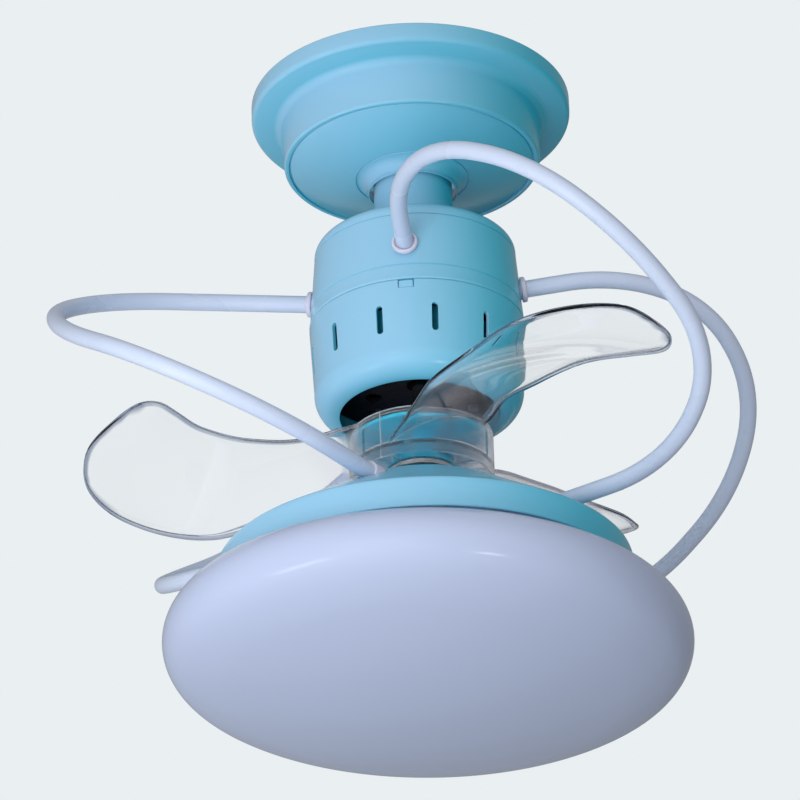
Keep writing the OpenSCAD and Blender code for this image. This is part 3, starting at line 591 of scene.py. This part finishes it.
black = finish("black_plastic", (0.020, 0.020, 0.023), (0.032, 0.032, 0.036), 0.45, peel=1500, bump=0.2,
               edge=(0.08, 0.08, 0.09))
# The shell blue as painted shade: the deep, greener tone of its shaded side, used all over
blue_in_painted_shade = finish("blue_in_painted_shade", (0.006, 0.400, 0.570), (0.012, 0.430, 0.600), 0.30, peel=1400, bump=0.06,
                   rough_swing=0.03, Specular_IOR_Level=0.3)
frosted = finish("frosted_bulb", (0.80, 0.79, 0.76), (0.84, 0.83, 0.80), 0.35, peel=2500, bump=0.05,
                 Coat_Weight=0.2, Coat_Roughness=0.3)
finishes = {"blue_shell": shell_blue, "white_tube": tube_white, "white_plastic": trim_white,
            "black_plastic": black, "clear_blade": blade_clear, "opal_dome": dome_opal, "bulb_cover": frosted,
            "zinc_steel": zinc, "bearing_steel": bright, "lamination_steel": laminated,
            "dark_case": dark_case, "copper_wire": copper}
print("finishes:", len(finishes))

# %% [markdown]
# ## Solids that stay as they are
# Brackets, motor parts, bolts and sockets already have the right shape. Each takes the finish that
# its material slot names, so the record and the dressed fan agree, save the hub driver, which takes the blue
# in painted shade.

# %% Dress the carried-over solids
for part in frame["record"]["subparts"]:
    solid = frame["nodes"][part["node"]]
    solid.data.materials.clear()
    solid.data.materials.append(finishes[part["material_slot"]])
# The hub driver shows the blue in painted shade in place of its slot's finish
frame["nodes"]["hub_driver"].data.materials[0] = blue_in_painted_shade


def dress(piece, body, slot, *nodes):
    """Finish, body and stand-in of a new piece in one line."""
    piece.data.materials.clear()
    piece.data.materials.append(finishes[slot])
    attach(piece, body)
    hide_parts(*nodes)
    return piece


# %% [markdown]
# ## The canopy
# The canopy is one moulding: a broad brim with a rounded edge, a cup, a small lip at the cup's
# foot and a hollow collar round the neck. The outline goes round the outside from the brim to the
# collar and back up the inside, so the shell has its real wall.

# %% Canopy
brim_r, cup_r, collar_r, collar_hole = 113.0, 90.5, 38.6, 30.4
z_brim_foot, z_cup_foot, z_collar_top, z_collar_foot = -15.2, -49.2, -62.2, -73.2
canopy_wall = 2.5
canopy_outside = (
    [(brim_r - 1.5, -1.0)]
    + arc((brim_r - 1.5, -2.5), 1.5, 80, 0, 5)
    + arc((brim_r - 4, z_brim_foot + 3.4), 4, 0, -70, 12)
    + [(cup_r + 9, z_brim_foot - 2.2)]
    + arc((cup_r + 8.4, z_brim_foot - 9), 6.6, 95, 175, 14)
    + arc((cup_r - 1.8, z_cup_foot - 0.2), 1.8, 10, -90, 12)
    + [(cup_r - 3.2, z_cup_foot - 2.1), (cup_r - 3.5, z_cup_foot - 1.6), (cup_r - 3.7, z_cup_foot - 0.6),
       (cup_r - 4.5, z_cup_foot - 0.5), (cup_r - 4.8, z_cup_foot - 1.4), (cup_r - 5.3, z_cup_foot - 1.9)]
    + [(collar_r + 1.6, z_collar_top + 0.3), (collar_r + 1.2, z_collar_top + 0.9),
       (collar_r + 0.5, z_collar_top + 0.9), (collar_r + 0.2, z_collar_top)]
    + arc((collar_r + 2.4, z_collar_foot + 1.2), 10.2, 104, 172, 14)
    + arc((collar_hole + 0.6, z_collar_foot + 0.5), 0.6, -10, -170, 8))
canopy_inside = (
    [(collar_hole, z_collar_foot + 2), (collar_r - 4.5, z_collar_top + 0.8),
     (collar_r, z_collar_top + canopy_wall + 0.6)]
    + arc((cup_r - 6, z_cup_foot + 3.6), 6 - canopy_wall - 0.6, -90, 0, 6)
    + [(cup_r - canopy_wall - 0.2, z_brim_foot - 8), (cup_r + 5, z_brim_foot + 1.2),
       (brim_r - 5.5, z_brim_foot + 2.6), (brim_r - canopy_wall, z_brim_foot + 5.5),
       (brim_r - canopy_wall, -1.0)])
canopy = spun("canopy_shell", canopy_outside + canopy_inside, 256)
dress(canopy, "canopy_cover", "blue_shell", "canopy")
print("canopy faces:", len(canopy.data.polygons))

# %% [markdown]
# ## The neck sleeve
# A blue sleeve hides the steel rod between the canopy and the motor. It is a plain tube with two
# ribs inside that keep it centred on the rod. The ribs are spun by themselves and joined by a
# boolean, which is easier to change than one long outline.

# %% Neck sleeve
neck_r, sleeve_bore = 27.7, 10.85
z_sleeve_top, z_housing_top = -60.0, -118.0
sleeve = spun("neck_tube", [(neck_r - 2.2, z_housing_top + 0.1), (neck_r - 0.4, z_housing_top + 0.1),
                            (neck_r, z_housing_top + 0.5), (neck_r, z_sleeve_top - 0.5),
                            (neck_r - 0.5, z_sleeve_top), (neck_r - 2.2, z_sleeve_top)], 128)
ribs = []
for z in (z_housing_top + 12, z_sleeve_top - 6):
    ribs.append(spun("sleeve_rib", [(sleeve_bore, z), (neck_r - 2.1, z), (neck_r - 2.1, z + 2),
                                    (sleeve_bore, z + 2)], 96))
boolean(sleeve, ribs, "UNION")
dress(sleeve, "fan_frame", "blue_shell", "neck_sleeve")
print("sleeve with", len(sleeve.data.polygons), "faces")

# %% [markdown]
# ## The motor housing
# Two shells meet at a belt. The upper one has a soft shoulder and two fine grooves, carries the four
# tubes, and reaches down inside the lower one, where its small lugs snap into windows. The lower
# one has vents and a wide round mouth. The holes are cut with exact booleans, and the walls then
# take back the normals of the uncut shell, so no facets show round a vent.

# %% Housing outlines
housing_r, wall = 75.0, 2.5
bore_r = housing_r - 2 * wall
shoulder_r, shoulder_out_r, groove_r = 8.0, 70.5, 73.8
z_top_line, z_groove, z_joint, z_spigot, z_opening = -128.8, -170.0, -182.0, -193.0, -250.0
foot_r, foot_round, opening_r, rod_r = 72.5, 17.0, 55.2, 10.65
joint_gap = 0.15
upper_outline = (
    [(rod_r + 0.3, z_housing_top)]
    + arc((shoulder_out_r - shoulder_r, z_housing_top - shoulder_r), shoulder_r, 90, 4, 16)
    + [(shoulder_out_r + 0.08, z_top_line + 0.45), (shoulder_out_r - 0.55, z_top_line + 0.15),
       (shoulder_out_r - 0.55, z_top_line - 0.15), (shoulder_out_r + 0.12, z_top_line - 0.45)]
    + [(groove_r - 0.1, z_groove + 0.7), (groove_r - 0.75, z_groove + 0.25),
       (groove_r - 0.85, z_groove - 0.1), (groove_r + 0.05, z_groove - 0.7),
       (housing_r - 0.55, z_joint + 3.6), (housing_r - 0.1, z_joint + 2.0), (housing_r, z_joint + 1.3),
       (housing_r - 0.15, z_joint + 0.6), (housing_r - 0.5, z_joint + joint_gap)]
    + [(housing_r - wall - 0.2, z_joint + joint_gap), (housing_r - wall - 1, z_spigot), (bore_r, z_spigot),
       (bore_r, z_joint + 3), (groove_r - wall - 0.6, z_groove)]
    + arc((shoulder_out_r - shoulder_r, z_housing_top - shoulder_r), shoulder_r - wall, 4, 90, 8)
    + [(rod_r + 0.3, z_housing_top - wall)])
lower_outline = (
    [(housing_r - 0.5, z_joint - joint_gap), (housing_r - 0.12, z_joint - 0.6), (housing_r, z_joint - 1.4)]
    + arc((foot_r - foot_round, z_opening + foot_round), foot_round, 4, -90, 28)
    + arc((opening_r + 0.9, z_opening + 0.9), 0.9, -100, -180, 5)
    + [(opening_r, z_opening + wall)]
    + arc((foot_r - foot_round, z_opening + foot_round), foot_round - wall, -90, 4, 16)
    + [(housing_r - wall, z_joint - 1.4), (housing_r - wall, z_joint - joint_gap)])

# %% Tube route, shared by tubes, ferrules and holes
stay_corners = [(60, 0, -156), (140, 0, -145), (205, 34, -154), (238, 98, -192),
                (218, 159, -242), (152, 211, -294), (65, 175, -332), (15, 78, -336)]
stay_radii = [128, 105, 115, 155, 95, 125]
stay_names = ["front", "right", "back", "left"]
stay_angles = [-90, 4, 90, 177]


def bend_line(corners, radii, steps=14):
    """The centre line of a bent tube: straight legs joined by true arcs."""
    points = [Vector(corners[0])]
    for i in range(1, len(corners) - 1):
        here = Vector(corners[i])
        back = (Vector(corners[i - 1]) - here).normalized()
        ahead = (Vector(corners[i + 1]) - here).normalized()
        half = back.angle(ahead) / 2
        radius = radii[i - 1]
        centre = here + (back + ahead).normalized() * radius / math.sin(half)
        start = here + back * radius / math.tan(half)
        out = (start - centre).normalized()
        for k in range(steps + 1):
            a = (math.pi - 2 * half) * k / steps
            points.append(centre + radius * (out * math.cos(a) - back * math.sin(a)))
    points.append(Vector(corners[-1]))
    return points


FIRST_LEG, LAST_LEG = 0, len(stay_corners) - 2


def on_leg(piece, leg, angle, slide=0):
    """Stands a piece that was made along +Z on a straight leg of one tube, and slides it along."""
    stand = along(stay_corners[leg], stay_corners[leg + 1])
    piece.data.transform(stand @ Matrix.Translation((0, 0, slide * MM)))
    return turned(piece, angle)


def drilled_along(leg, radius, start, end, angle):
    """A round cutter along a leg of one tube."""
    return on_leg(spun("drill", [(0, start), (radius, start), (radius, end), (0, end)], 48), leg, angle)


stay_line = bend_line(stay_corners, stay_radii)
print("tube length in mm:", round(sum((b - a).length for a, b in zip(stay_line, stay_line[1:]))))

# %% Upper shell
upper_hole_r = 7.0
upper = spun("housing_upper", upper_outline, 240)
boolean(upper, [drilled_along(FIRST_LEG, upper_hole_r, 0, 40, angle) for angle in stay_angles])
snap_angles = [-90, 0, 90, 180]
snap_w, snap_h, z_snap, lug_sweep = 10.5, 5.8, -185.5, 8.1
z_lug_foot, z_lug_top = z_snap - snap_h / 2, z_snap + snap_h / 2
lug_outline = [(bore_r + 0.2, z_lug_foot), (housing_r - 1.2, z_lug_foot), (housing_r - 0.9, z_lug_foot + 0.4),
               (housing_r - 0.9, z_lug_top - 0.4), (housing_r - 1.2, z_lug_top), (bore_r + 0.2, z_lug_top)]
lugs = [spun("lug", lug_outline, 10, angle - lug_sweep / 2, lug_sweep) for angle in snap_angles]
boolean(upper, lugs, "UNION")
dress(upper, "fan_frame", "blue_shell", "upper_housing")
print("upper shell faces:", len(upper.data.polygons))

# %% Lower shell with vents and windows
lower = spun("housing_lower", lower_outline, 240)
vent_h, vent_w, z_vent, vent_count, first_vent = 21.0, 4.5, -210.7, 12, -75
window_gap = 0.3


def slot_cutter(width, height, depth_from, depth_to, z):
    """A slot with round ends, standing upright and pointing outwards along +X."""
    bm = bmesh.new()
    straight = (height - width) / 2
    edge = arc((0, straight), width / 2, 0, 180, 10) + arc((0, -straight), width / 2, 180, 360, 10)
    near = [bm.verts.new((depth_from * MM, y * MM, (z + h) * MM)) for y, h in edge]
    far = [bm.verts.new((depth_to * MM, y * MM, (z + h) * MM)) for y, h in edge]
    band(bm, near, far)
    bm.faces.new(near)
    bm.faces.new(far)
    return as_piece(bm, "slot_cutter")


cutters = []
for k in range(vent_count):
    vent = slot_cutter(vent_w, vent_h, 60, 84, z_vent)
    cutters.append(turned(vent, first_vent + 360 * k / vent_count))
for angle in snap_angles:
    window = box_at("window", (65, -snap_w / 2 - window_gap, z_lug_foot - window_gap),
                    (85, snap_w / 2 + window_gap, z_lug_top + window_gap))
    cutters.append(turned(window, angle))
boolean(lower, cutters)
dress(lower, "fan_frame", "blue_shell", "lower_housing")
print("lower shell faces:", len(lower.data.polygons))

# %% [markdown]
# ## The lower bell of the motor
# The motor's lower cover is all that one sees up through the mouth. It is a black turned casting with
# a pocket for the bearing, holes for four screws and eight air holes, and a flange that nearly fills
# the housing, so that no light falls past it.

# %% Lower end bell
bell_r, bell_in_r, z_bell_foot, z_stator_foot, bell_flange_r = 54.0, 49.0, -226.0, -192.05, 68.6
shaft_hole_r, seat_r, pocket_r, z_seat_top, z_pocket_top = 9, 15, 19, -218, -209
screw_holes = (48, 2.2, 4, 45)
air_holes = (36, 6, 8, 22.5)
bell_outline = [
    (shaft_hole_r, z_bell_foot), (bell_flange_r - 0.5, z_bell_foot), (bell_flange_r, z_bell_foot + 0.5),
    (bell_flange_r, z_bell_foot + 3), (bell_flange_r - 0.5, z_bell_foot + 3.5),
    (bell_r + 1, z_bell_foot + 3.5), (bell_r, z_bell_foot + 4.5),
    (bell_r, z_stator_foot), (bell_in_r, z_stator_foot), (bell_in_r, z_bell_foot + 3),
    (pocket_r, z_bell_foot + 3), (pocket_r, z_pocket_top), (seat_r, z_pocket_top), (seat_r, z_seat_top),
    (shaft_hole_r, z_seat_top)]
bell = spun("motor_bell_lower", bell_outline, 160)
z_drill_foot, z_drill_top = z_bell_foot - 2, z_bell_foot + 5
cutters = []
for radius, hole_r, count, first in (screw_holes, air_holes):
    for k in range(count):
        drill = spun("drill", [(0, z_drill_foot), (hole_r, z_drill_foot), (hole_r, z_drill_top),
                               (0, z_drill_top)], 32)
        drill.data.transform(Matrix.Translation((radius * MM, 0, 0)))
        cutters.append(turned(drill, first + 360 * k / count))
boolean(bell, cutters)
dress(bell, "fan_frame", "dark_case", "lower_end_bell")
print("bell faces:", len(bell.data.polygons))

# %% [markdown]
# ## The bent tubes
# Each tube leaves the motor almost level, swings round and down outside the blades and comes back
# under them to the lamp. One smooth tube is swept along the line with rings that do not twist,
# with an inner wall too, because its ends are open.


# %% Sweep the tubes
def sweep(name, line, outer, inner, sides=28):
    """A hollow tube along a line of points, its rings carried on without twist."""
    bm = bmesh.new()
    side = Vector((0, 0, 1))
    turns = [2 * math.pi * k / sides for k in range(sides)]
    skins = []
    for i, here in enumerate(line):
        way = (line[min(i + 1, len(line) - 1)] - line[max(i - 1, 0)]).normalized()
        side = (side - way * side.dot(way)).normalized()
        other = way.cross(side)
        rings = []
        for radius in (outer, inner):
            rings.append([bm.verts.new((here + radius * (side * math.cos(a) + other * math.sin(a))) * MM)
                          for a in turns])
        skins.append(rings)
    for one, two in zip(skins, skins[1:]):
        for which in (0, 1):
            band(bm, one[which], two[which])
    for outside_ring, inside_ring in (skins[0], skins[-1]):
        band(bm, outside_ring, inside_ring)
    return smooth(as_piece(bm, name))


tube_r, tube_bore_r = 6.0, 5.0
for name, angle in zip(stay_names, stay_angles):
    tube = turned(sweep("tube_" + name, stay_line, tube_r, tube_bore_r), angle)
    dress(tube, "fan_frame", "white_tube", "stay_" + name)
print("tubes swept with", len(stay_line), "rings each")

# %% [markdown]
# ## Ferrules
# Where a tube enters the housing, a white moulded ring with a dished face closes the hole. Lower
# down, a plain sleeve holds each tube in the slope of the lamp pan. Both are turned parts that are
# stood along the tube they hold, so the same spinning helper makes them.

# %% Ferrules
upper_at, flange_r, sleeve_r = 13.5, 9.0, 6.9
lower_at, lower_r, lower_len = 92, 7.6, 12
ring_bore = 6.05
upper_ring = ([(ring_bore, upper_at - 8), (sleeve_r - 0.4, upper_at - 8), (sleeve_r, upper_at - 7.5),
               (sleeve_r, upper_at), (flange_r - 0.3, upper_at)]
              + arc((flange_r - 0.7, upper_at + 0.7), 0.7, -60, 0, 4)
              + arc((flange_r - 1.4, upper_at + 2.1), 1.4, 10, 90, 8)
              + [(flange_r - 1.9, upper_at + 3.2), (7.0, upper_at + 2.4), (ring_bore, upper_at + 1.9)])
lower_ring = ([(ring_bore, 0.2), (lower_r - 0.7, 0)] + arc((lower_r - 0.7, 0.7), 0.7, -80, 0, 6)
              + arc((lower_r - 1.2, lower_len - 1.2), 1.2, 0, 90, 8) + [(ring_bore, lower_len)])
tops = [on_leg(spun("ring", upper_ring, 64), FIRST_LEG, angle) for angle in stay_angles]
feet = [on_leg(spun("ring", lower_ring, 64), LAST_LEG, angle, lower_at) for angle in stay_angles]


def joined(name, pieces):
    """Several pieces as one object, their shading kept."""
    bpy.ops.object.select_all(action="DESELECT")
    for piece in pieces:
        piece.select_set(True)
    bpy.context.view_layer.objects.active = pieces[0]
    bpy.ops.object.join()
    pieces[0].name = name
    return smooth(pieces[0])


dress(joined("ferrules_upper", tops), "fan_frame", "white_plastic", "upper_ferrules")
dress(joined("ferrules_lower", feet), "fan_frame", "white_plastic", "lower_ferrules")
print("ferrules made")

# %% [markdown]
# ## The lamp pan and the dome
# The pan is a flat-topped cone with an upright rim. The dome hangs in it on three small lugs. Its
# outline is a chain of arcs that meet without a corner, tight at the side and ever wider towards the
# bottom, and it gets the finest steps of all because it is the largest smooth thing in view. A lamp
# dome never hangs quite true on its catches: the bowl leans by 1.7 degrees, down to the right and to
# the back, and that lean fades out towards the neck, which stays in its ring.

# %% Lamp pan
pan_top_r, rim_r, pan_wall = 68.8, 144.0, 1.8
z_pan_top, z_pan_edge, z_rim_foot = -320.6, -366.4, -388.5
edge_r = rim_r - 2.2
pan_outline = (
    [(0, z_pan_top), (pan_top_r - 2.4, z_pan_top), (pan_top_r - 1.2, z_pan_top - 0.15),
     (pan_top_r, z_pan_top - 0.9)]
    + [(edge_r - 2.4, z_pan_edge + 1.4), (edge_r - 1.2, z_pan_edge + 0.55), (edge_r - 0.4, z_pan_edge - 0.3),
       (edge_r, z_pan_edge - 1.4), (edge_r + 0.2, z_pan_edge - 4)]
    + [(rim_r - 0.05, z_rim_foot + 0.6), (rim_r - 0.5, z_rim_foot), (rim_r - pan_wall + 0.3, z_rim_foot),
       (rim_r - pan_wall, z_rim_foot + 0.4)]
    + [(edge_r - pan_wall, z_pan_edge - 1.6), (pan_top_r - 0.6, z_pan_top - pan_wall - 0.9),
       (pan_top_r - 2.2, z_pan_top - pan_wall), (0, z_pan_top - pan_wall)])
pan_hole_r = 7.7
pan = spun("lamp_pan_shell", pan_outline, 240)
boolean(pan, [drilled_along(LAST_LEG, pan_hole_r, 70, 130, angle) for angle in stay_angles])
dress(pan, "fan_frame", "blue_shell", "lamp_pan")
print("pan faces:", len(pan.data.polygons))

# %% Dome
dome_r, z_wide, dome_wall = 179.2, -423.4, 2.5
neck_inner, z_neck, z_lug, lug_r = 137.5, -398.0, -386.0, 139.7
bowl_arcs = [(25.7, 0, -56), (60, -56, -66), (150, -66, -77)]
shoulder_radius, shoulder_end = 22.1, 76
tilt_to_right, tilt_to_back, z_hang = 0.0230, 0.0190, -395
off_to_right, off_to_back = 1.2, 1.5


def chained(start_r, start_z, arcs, t):
    """Arcs that meet without a corner, as (radius, from angle, to angle), at a depth t in the wall."""
    points, r, z = [], start_r, start_z
    for radius, a, b in arcs:
        cr = r - radius * math.cos(math.radians(a))
        cz = z - radius * math.sin(math.radians(a))
        points += arc((cr, cz), radius - t, a, b, 22)[0 if not points else 1:]
        r = cr + radius * math.cos(math.radians(b))
        z = cz + radius * math.sin(math.radians(b))
    return points, r, z


def dome_half(t):
    """The outline of the dome at a depth t in its wall, from the bottom up to the rim."""
    bowl, r, z = chained(dome_r, z_wide, bowl_arcs, t)
    last_angle = bowl_arcs[-1][2]
    wide = r / math.cos(math.radians(last_angle))
    bowl += arc((0, z - wide * math.sin(math.radians(last_angle))), wide - t, last_angle, -90, 50)[1:]
    shoulder = chained(dome_r, z_wide, [(shoulder_radius, 0, shoulder_end)], t)[0]
    last = shoulder[-1]
    neck = (neck_inner - t, z_neck + 0.6 - t)
    slope = [(last[0] + (neck[0] - last[0]) * k / 5, last[1] + (neck[1] - last[1]) * k / 5)
             for k in range(1, 5)]
    return bowl[::-1] + shoulder[1:] + slope + [neck, (neck_inner - t, z_lug + 3)]


dome = spun("dome_shell", dome_half(0) + dome_half(dome_wall)[::-1], 320)
for v in dome.data.vertices:
    x, y, z = v.co / MM
    share = min(1.0, max(0.0, (z_neck + 1 - z) / 8))
    share = share * share * (3 - 2 * share)
    below = z - z_hang
    v.co += Vector((off_to_right + tilt_to_right * below, off_to_back + tilt_to_back * below,
                    -tilt_to_back * y - tilt_to_right * x)) * share * MM
smooth(dome)
lug_outline = [(neck_inner - 1, z_lug), (lug_r - 0.3, z_lug), (lug_r, z_lug + 0.3), (lug_r, z_lug + 2.7),
               (lug_r - 0.3, z_lug + 3), (neck_inner - 1, z_lug + 3)]
lug_half = 9
lugs = [spun("lug", lug_outline, 16, middle - lug_half, 2 * lug_half) for middle in (30, 150, 270)]
dress(joined("dome_shell", [dome] + lugs), "dome_shade", "opal_dome", "dome")
print("dome faces:", len(dome.data.polygons))

# %% [markdown]
# ## The clear blades
# Each blade is one moulding with its third of the hub drum. The skin runs over stations from the
# drum to the tip; at each one the trailing and the leading edge are given as radius, angle and
# height. The blades are soft, and the set leans a few degrees out of level, so each blade is made in
# its own place. A round bead runs along the edge, which is what the eye sees of a clear blade. Skin,
# drum and ribs are joined by an exact boolean, because inner faces would show through clear plastic.

# %% Blade skin
blade_stations = [
    ((48.8, -53.2, -292), (48.8, 37, -268.5)), ((74.5, -36.8, -290), (80.5, 17.6, -271.5)),
    ((104, -30.5, -292.5), (119, 16.5, -271)), ((134, -27, -296.5), (152.5, 20.2, -267)),
    ((164, -24, -298.5), (177.5, 26.9, -265)), ((193.5, -17.7, -294), (195.5, 30.5, -264)),
    ((219.5, -10.7, -283.5), (207.5, 28, -262)), ((231.5, -1.5, -274.5), (217, 19.8, -262.5)),
    ((229.5, 9.1, -266.5), (229.5, 9.1, -266.5))]
last_station = len(blade_stations) - 1
camber, blade_t, bead_t = 5.0, 2.0, 3.2
blade_lean, lean_towards, lean_from_r = 6.4, 49, 48.8


def station(side, i):
    """One edge point. Past the tip an edge carries on along the other one, which keeps the tip round."""
    if i > last_station:
        return np.array(blade_stations[2 * last_station - i][1 - side], float)
    return np.array(blade_stations[max(0, i)][side], float)


def edge_at(side, s):
    """The edge of the blade at a place along its length, a smooth curve through the stations."""
    i = min(int(s), last_station - 1)
    t = s - i
    a, b, c, d = (station(side, k) for k in (i - 1, i, i + 1, i + 2))
    return 0.5 * (2 * b + (c - a) * t + (2 * a - 5 * b + 4 * c - d) * t * t
                  + (3 * b - a - 3 * c + d) * t ** 3)


def in_place(p, turn, rise=0.0):
    """From radius, angle and height to x, y and z, with the lean of the set and the blade's turn."""
    angle = math.radians(p[1] + turn)
    side = math.cos(angle - math.radians(lean_towards))
    lean = math.tan(math.radians(blade_lean)) * (p[0] - lean_from_r) * side
    return np.array([p[0] * math.cos(angle), p[0] * math.sin(angle), p[2] + lean + rise])


def thickness(from_edge):
    """Round bead at the edge, then the plain wall, by distance from the edge in millimetres."""
    bead = bead_t / 2
    if from_edge < bead:
        return max(0.25, 2 * math.sqrt(max(0.0, bead ** 2 - (bead - from_edge) ** 2)))
    fade = min(1.0, (from_edge - bead) / 3.5)
    return bead_t + (blade_t - bead_t) * fade * fade * (3 - 2 * fade)


def blade_skin(turn, steps=110):
    """The skin of one blade as a closed piece."""
    offsets = [0, 0.15, 0.5, 1.0, 1.6, 2.6, 3.6, 5.2]
    short_of_tip = 0.9985
    narrow = 14
    rows = []
    for k in range(steps + 1):
        s = last_station * math.sin(math.pi / 2 * k / steps) * short_of_tip
        low, high = edge_at(0, s), edge_at(1, s)
        chord = float(np.linalg.norm(in_place(high, turn) - in_place(low, turn)))
        scale = min(1.0, chord / narrow)
        near = [o * scale / chord for o in offsets]
        middle = [near[-1] + (1 - 2 * near[-1]) * m / 12 for m in range(1, 12)]
        places = near + middle + [1 - v for v in reversed(near)]
        top, under = [], []
        for c in places:
            rise = camber * 4 * c * (1 - c) * math.sqrt(max(0.0, 1 - s / last_station))
            half = thickness(min(c, 1 - c) * chord / scale) * min(1.0, scale + 0.3) / 2
            point = in_place(low + (high - low) * c, turn, rise)
            top.append(point + [0, 0, half])
            under.append(point - [0, 0, half])
        rows.append(top + under[::-1])
    bm = bmesh.new()
    verts = [[bm.verts.new(Vector(p) * MM) for p in row] for row in rows]
    for one, two in zip(verts, verts[1:]):
        band(bm, one, two)
    bm.faces.new(verts[0])
    bm.faces.new(verts[-1])
    return smooth(as_piece(bm, "blade_skin"), 50)


# %% Drum thirds and the three blades
drum_r, drum_bore_r, web_t, z_web, z_drum_top, z_drum_foot = 50.0, 47.5, 3.0, -294.0, -266.0, -301.0
drum_sector, driver_r, driver_flange_r = 119.3, 14.0, 24.0
rib_h, rib_angles = 18, (-40, 0, 40)
hub_hole_r, hub_hole_out = 2.2, 19
drum_outline = [
    (driver_r + 0.4, z_web), (drum_bore_r - 0.6, z_web), (drum_bore_r, z_web - 0.6),
    (drum_bore_r, z_drum_foot + 0.3), (drum_bore_r + 0.3, z_drum_foot), (drum_r - 0.4, z_drum_foot),
    (drum_r, z_drum_foot + 0.4), (drum_r, z_drum_top - 0.8), (drum_r - 0.8, z_drum_top),
    (drum_bore_r - 0.7, z_drum_top), (drum_bore_r - 1, z_drum_top - 0.4), (drum_bore_r - 1, z_drum_top - 1.7),
    (drum_bore_r - 0.7, z_drum_top - 2), (drum_bore_r, z_drum_top - 2.6), (drum_bore_r, z_web + web_t + 0.6),
    (drum_bore_r - 0.6, z_web + web_t), (driver_r + 0.4, z_web + web_t)]


def mark_values(piece, turn, hazy):
    """Gives each point its nearness to the blade's edge as the value rim, and its dust as haze."""
    rim_reach = 3.7
    dust_end, dust_fade = 165, 25
    places = np.linspace(0, last_station, 260)
    line = [Vector(in_place(edge_at(side, s), turn)) * MM for side in (0, 1) for s in places]
    nearest = KDTree(len(line))
    for k, spot in enumerate(line):
        nearest.insert(spot, k)
    nearest.balance()
    values = {"rim": [], "haze": []}
    for v in piece.data.vertices:
        gap = nearest.find(v.co)[2] / MM
        out = math.hypot(v.co.x, v.co.y) / MM
        values["rim"].append(min(1.0, max(0.0, rim_reach - gap)) if out > drum_r + 2 else 0.0)
        dust = min(1.0, max(0.0, (dust_end - out) / dust_fade))
        values["haze"].append(hazy * dust if out > drum_r else 0.0)
    for label, numbers in values.items():
        piece.data.attributes.new(label, "FLOAT", "POINT").data.foreach_set("value", numbers)


for name, angle, hazy in (("blade_1", 182, 0.0), ("blade_2", -58, 0.0), ("blade_3", 62, 1.0)):
    moulding = blade_skin(angle)
    third = turned(spun("third", drum_outline, 48, -drum_sector / 2, drum_sector), angle)
    ribs = []
    for rib_angle in rib_angles:
        rib = box_at("rib", (driver_flange_r + 1, -1, z_web + web_t - 0.01),
                     (drum_bore_r + 0.5, 1, z_web + web_t + rib_h))
        ribs.append(turned(rib, angle + rib_angle))
    boolean(moulding, [third] + ribs, "UNION")
    hole = spun("hole", [(0, z_web - 1), (hub_hole_r, z_web - 1), (hub_hole_r, z_web + 4), (0, z_web + 4)], 32)
    hole.data.transform(Matrix.Translation((hub_hole_out * MM, 0, 0)))
    boolean(moulding, [turned(hole, angle)])
    mark_values(moulding, angle, hazy)
    moulding.name = "clear_" + name
    dress(moulding, "rotor", "clear_blade", name)
    print(name, "faces:", len(moulding.data.polygons))

# %% [markdown]
# ## The floor
# The floor lies well below the lamp, as in a room with a high ceiling. It is pale and plain, and it
# takes the faint shadow of the fan.

# %% Floor
floor_half, z_floor = 30, -6.5
floor_mesh = bpy.data.meshes.new("floor")
floor_mesh.from_pydata([(x * floor_half, y * floor_half, 0) for x, y in ((-1, -1), (1, -1), (1, 1), (-1, 1))],
                       [], [(0, 1, 2, 3)])
floor = bpy.data.objects.new("floor", floor_mesh)
floor.location = (0, 0, z_floor)
bpy.context.scene.collection.objects.link(floor)
floor_pale = finish("floor_pale", (0.80, 0.84, 0.87), (0.82, 0.86, 0.89), 0.7, peel=30, patch_scale=0.5)
floor.data.materials.append(floor_pale)
bpy.context.scene.view_settings.view_transform = "Standard"
print("floor at", z_floor, "m")
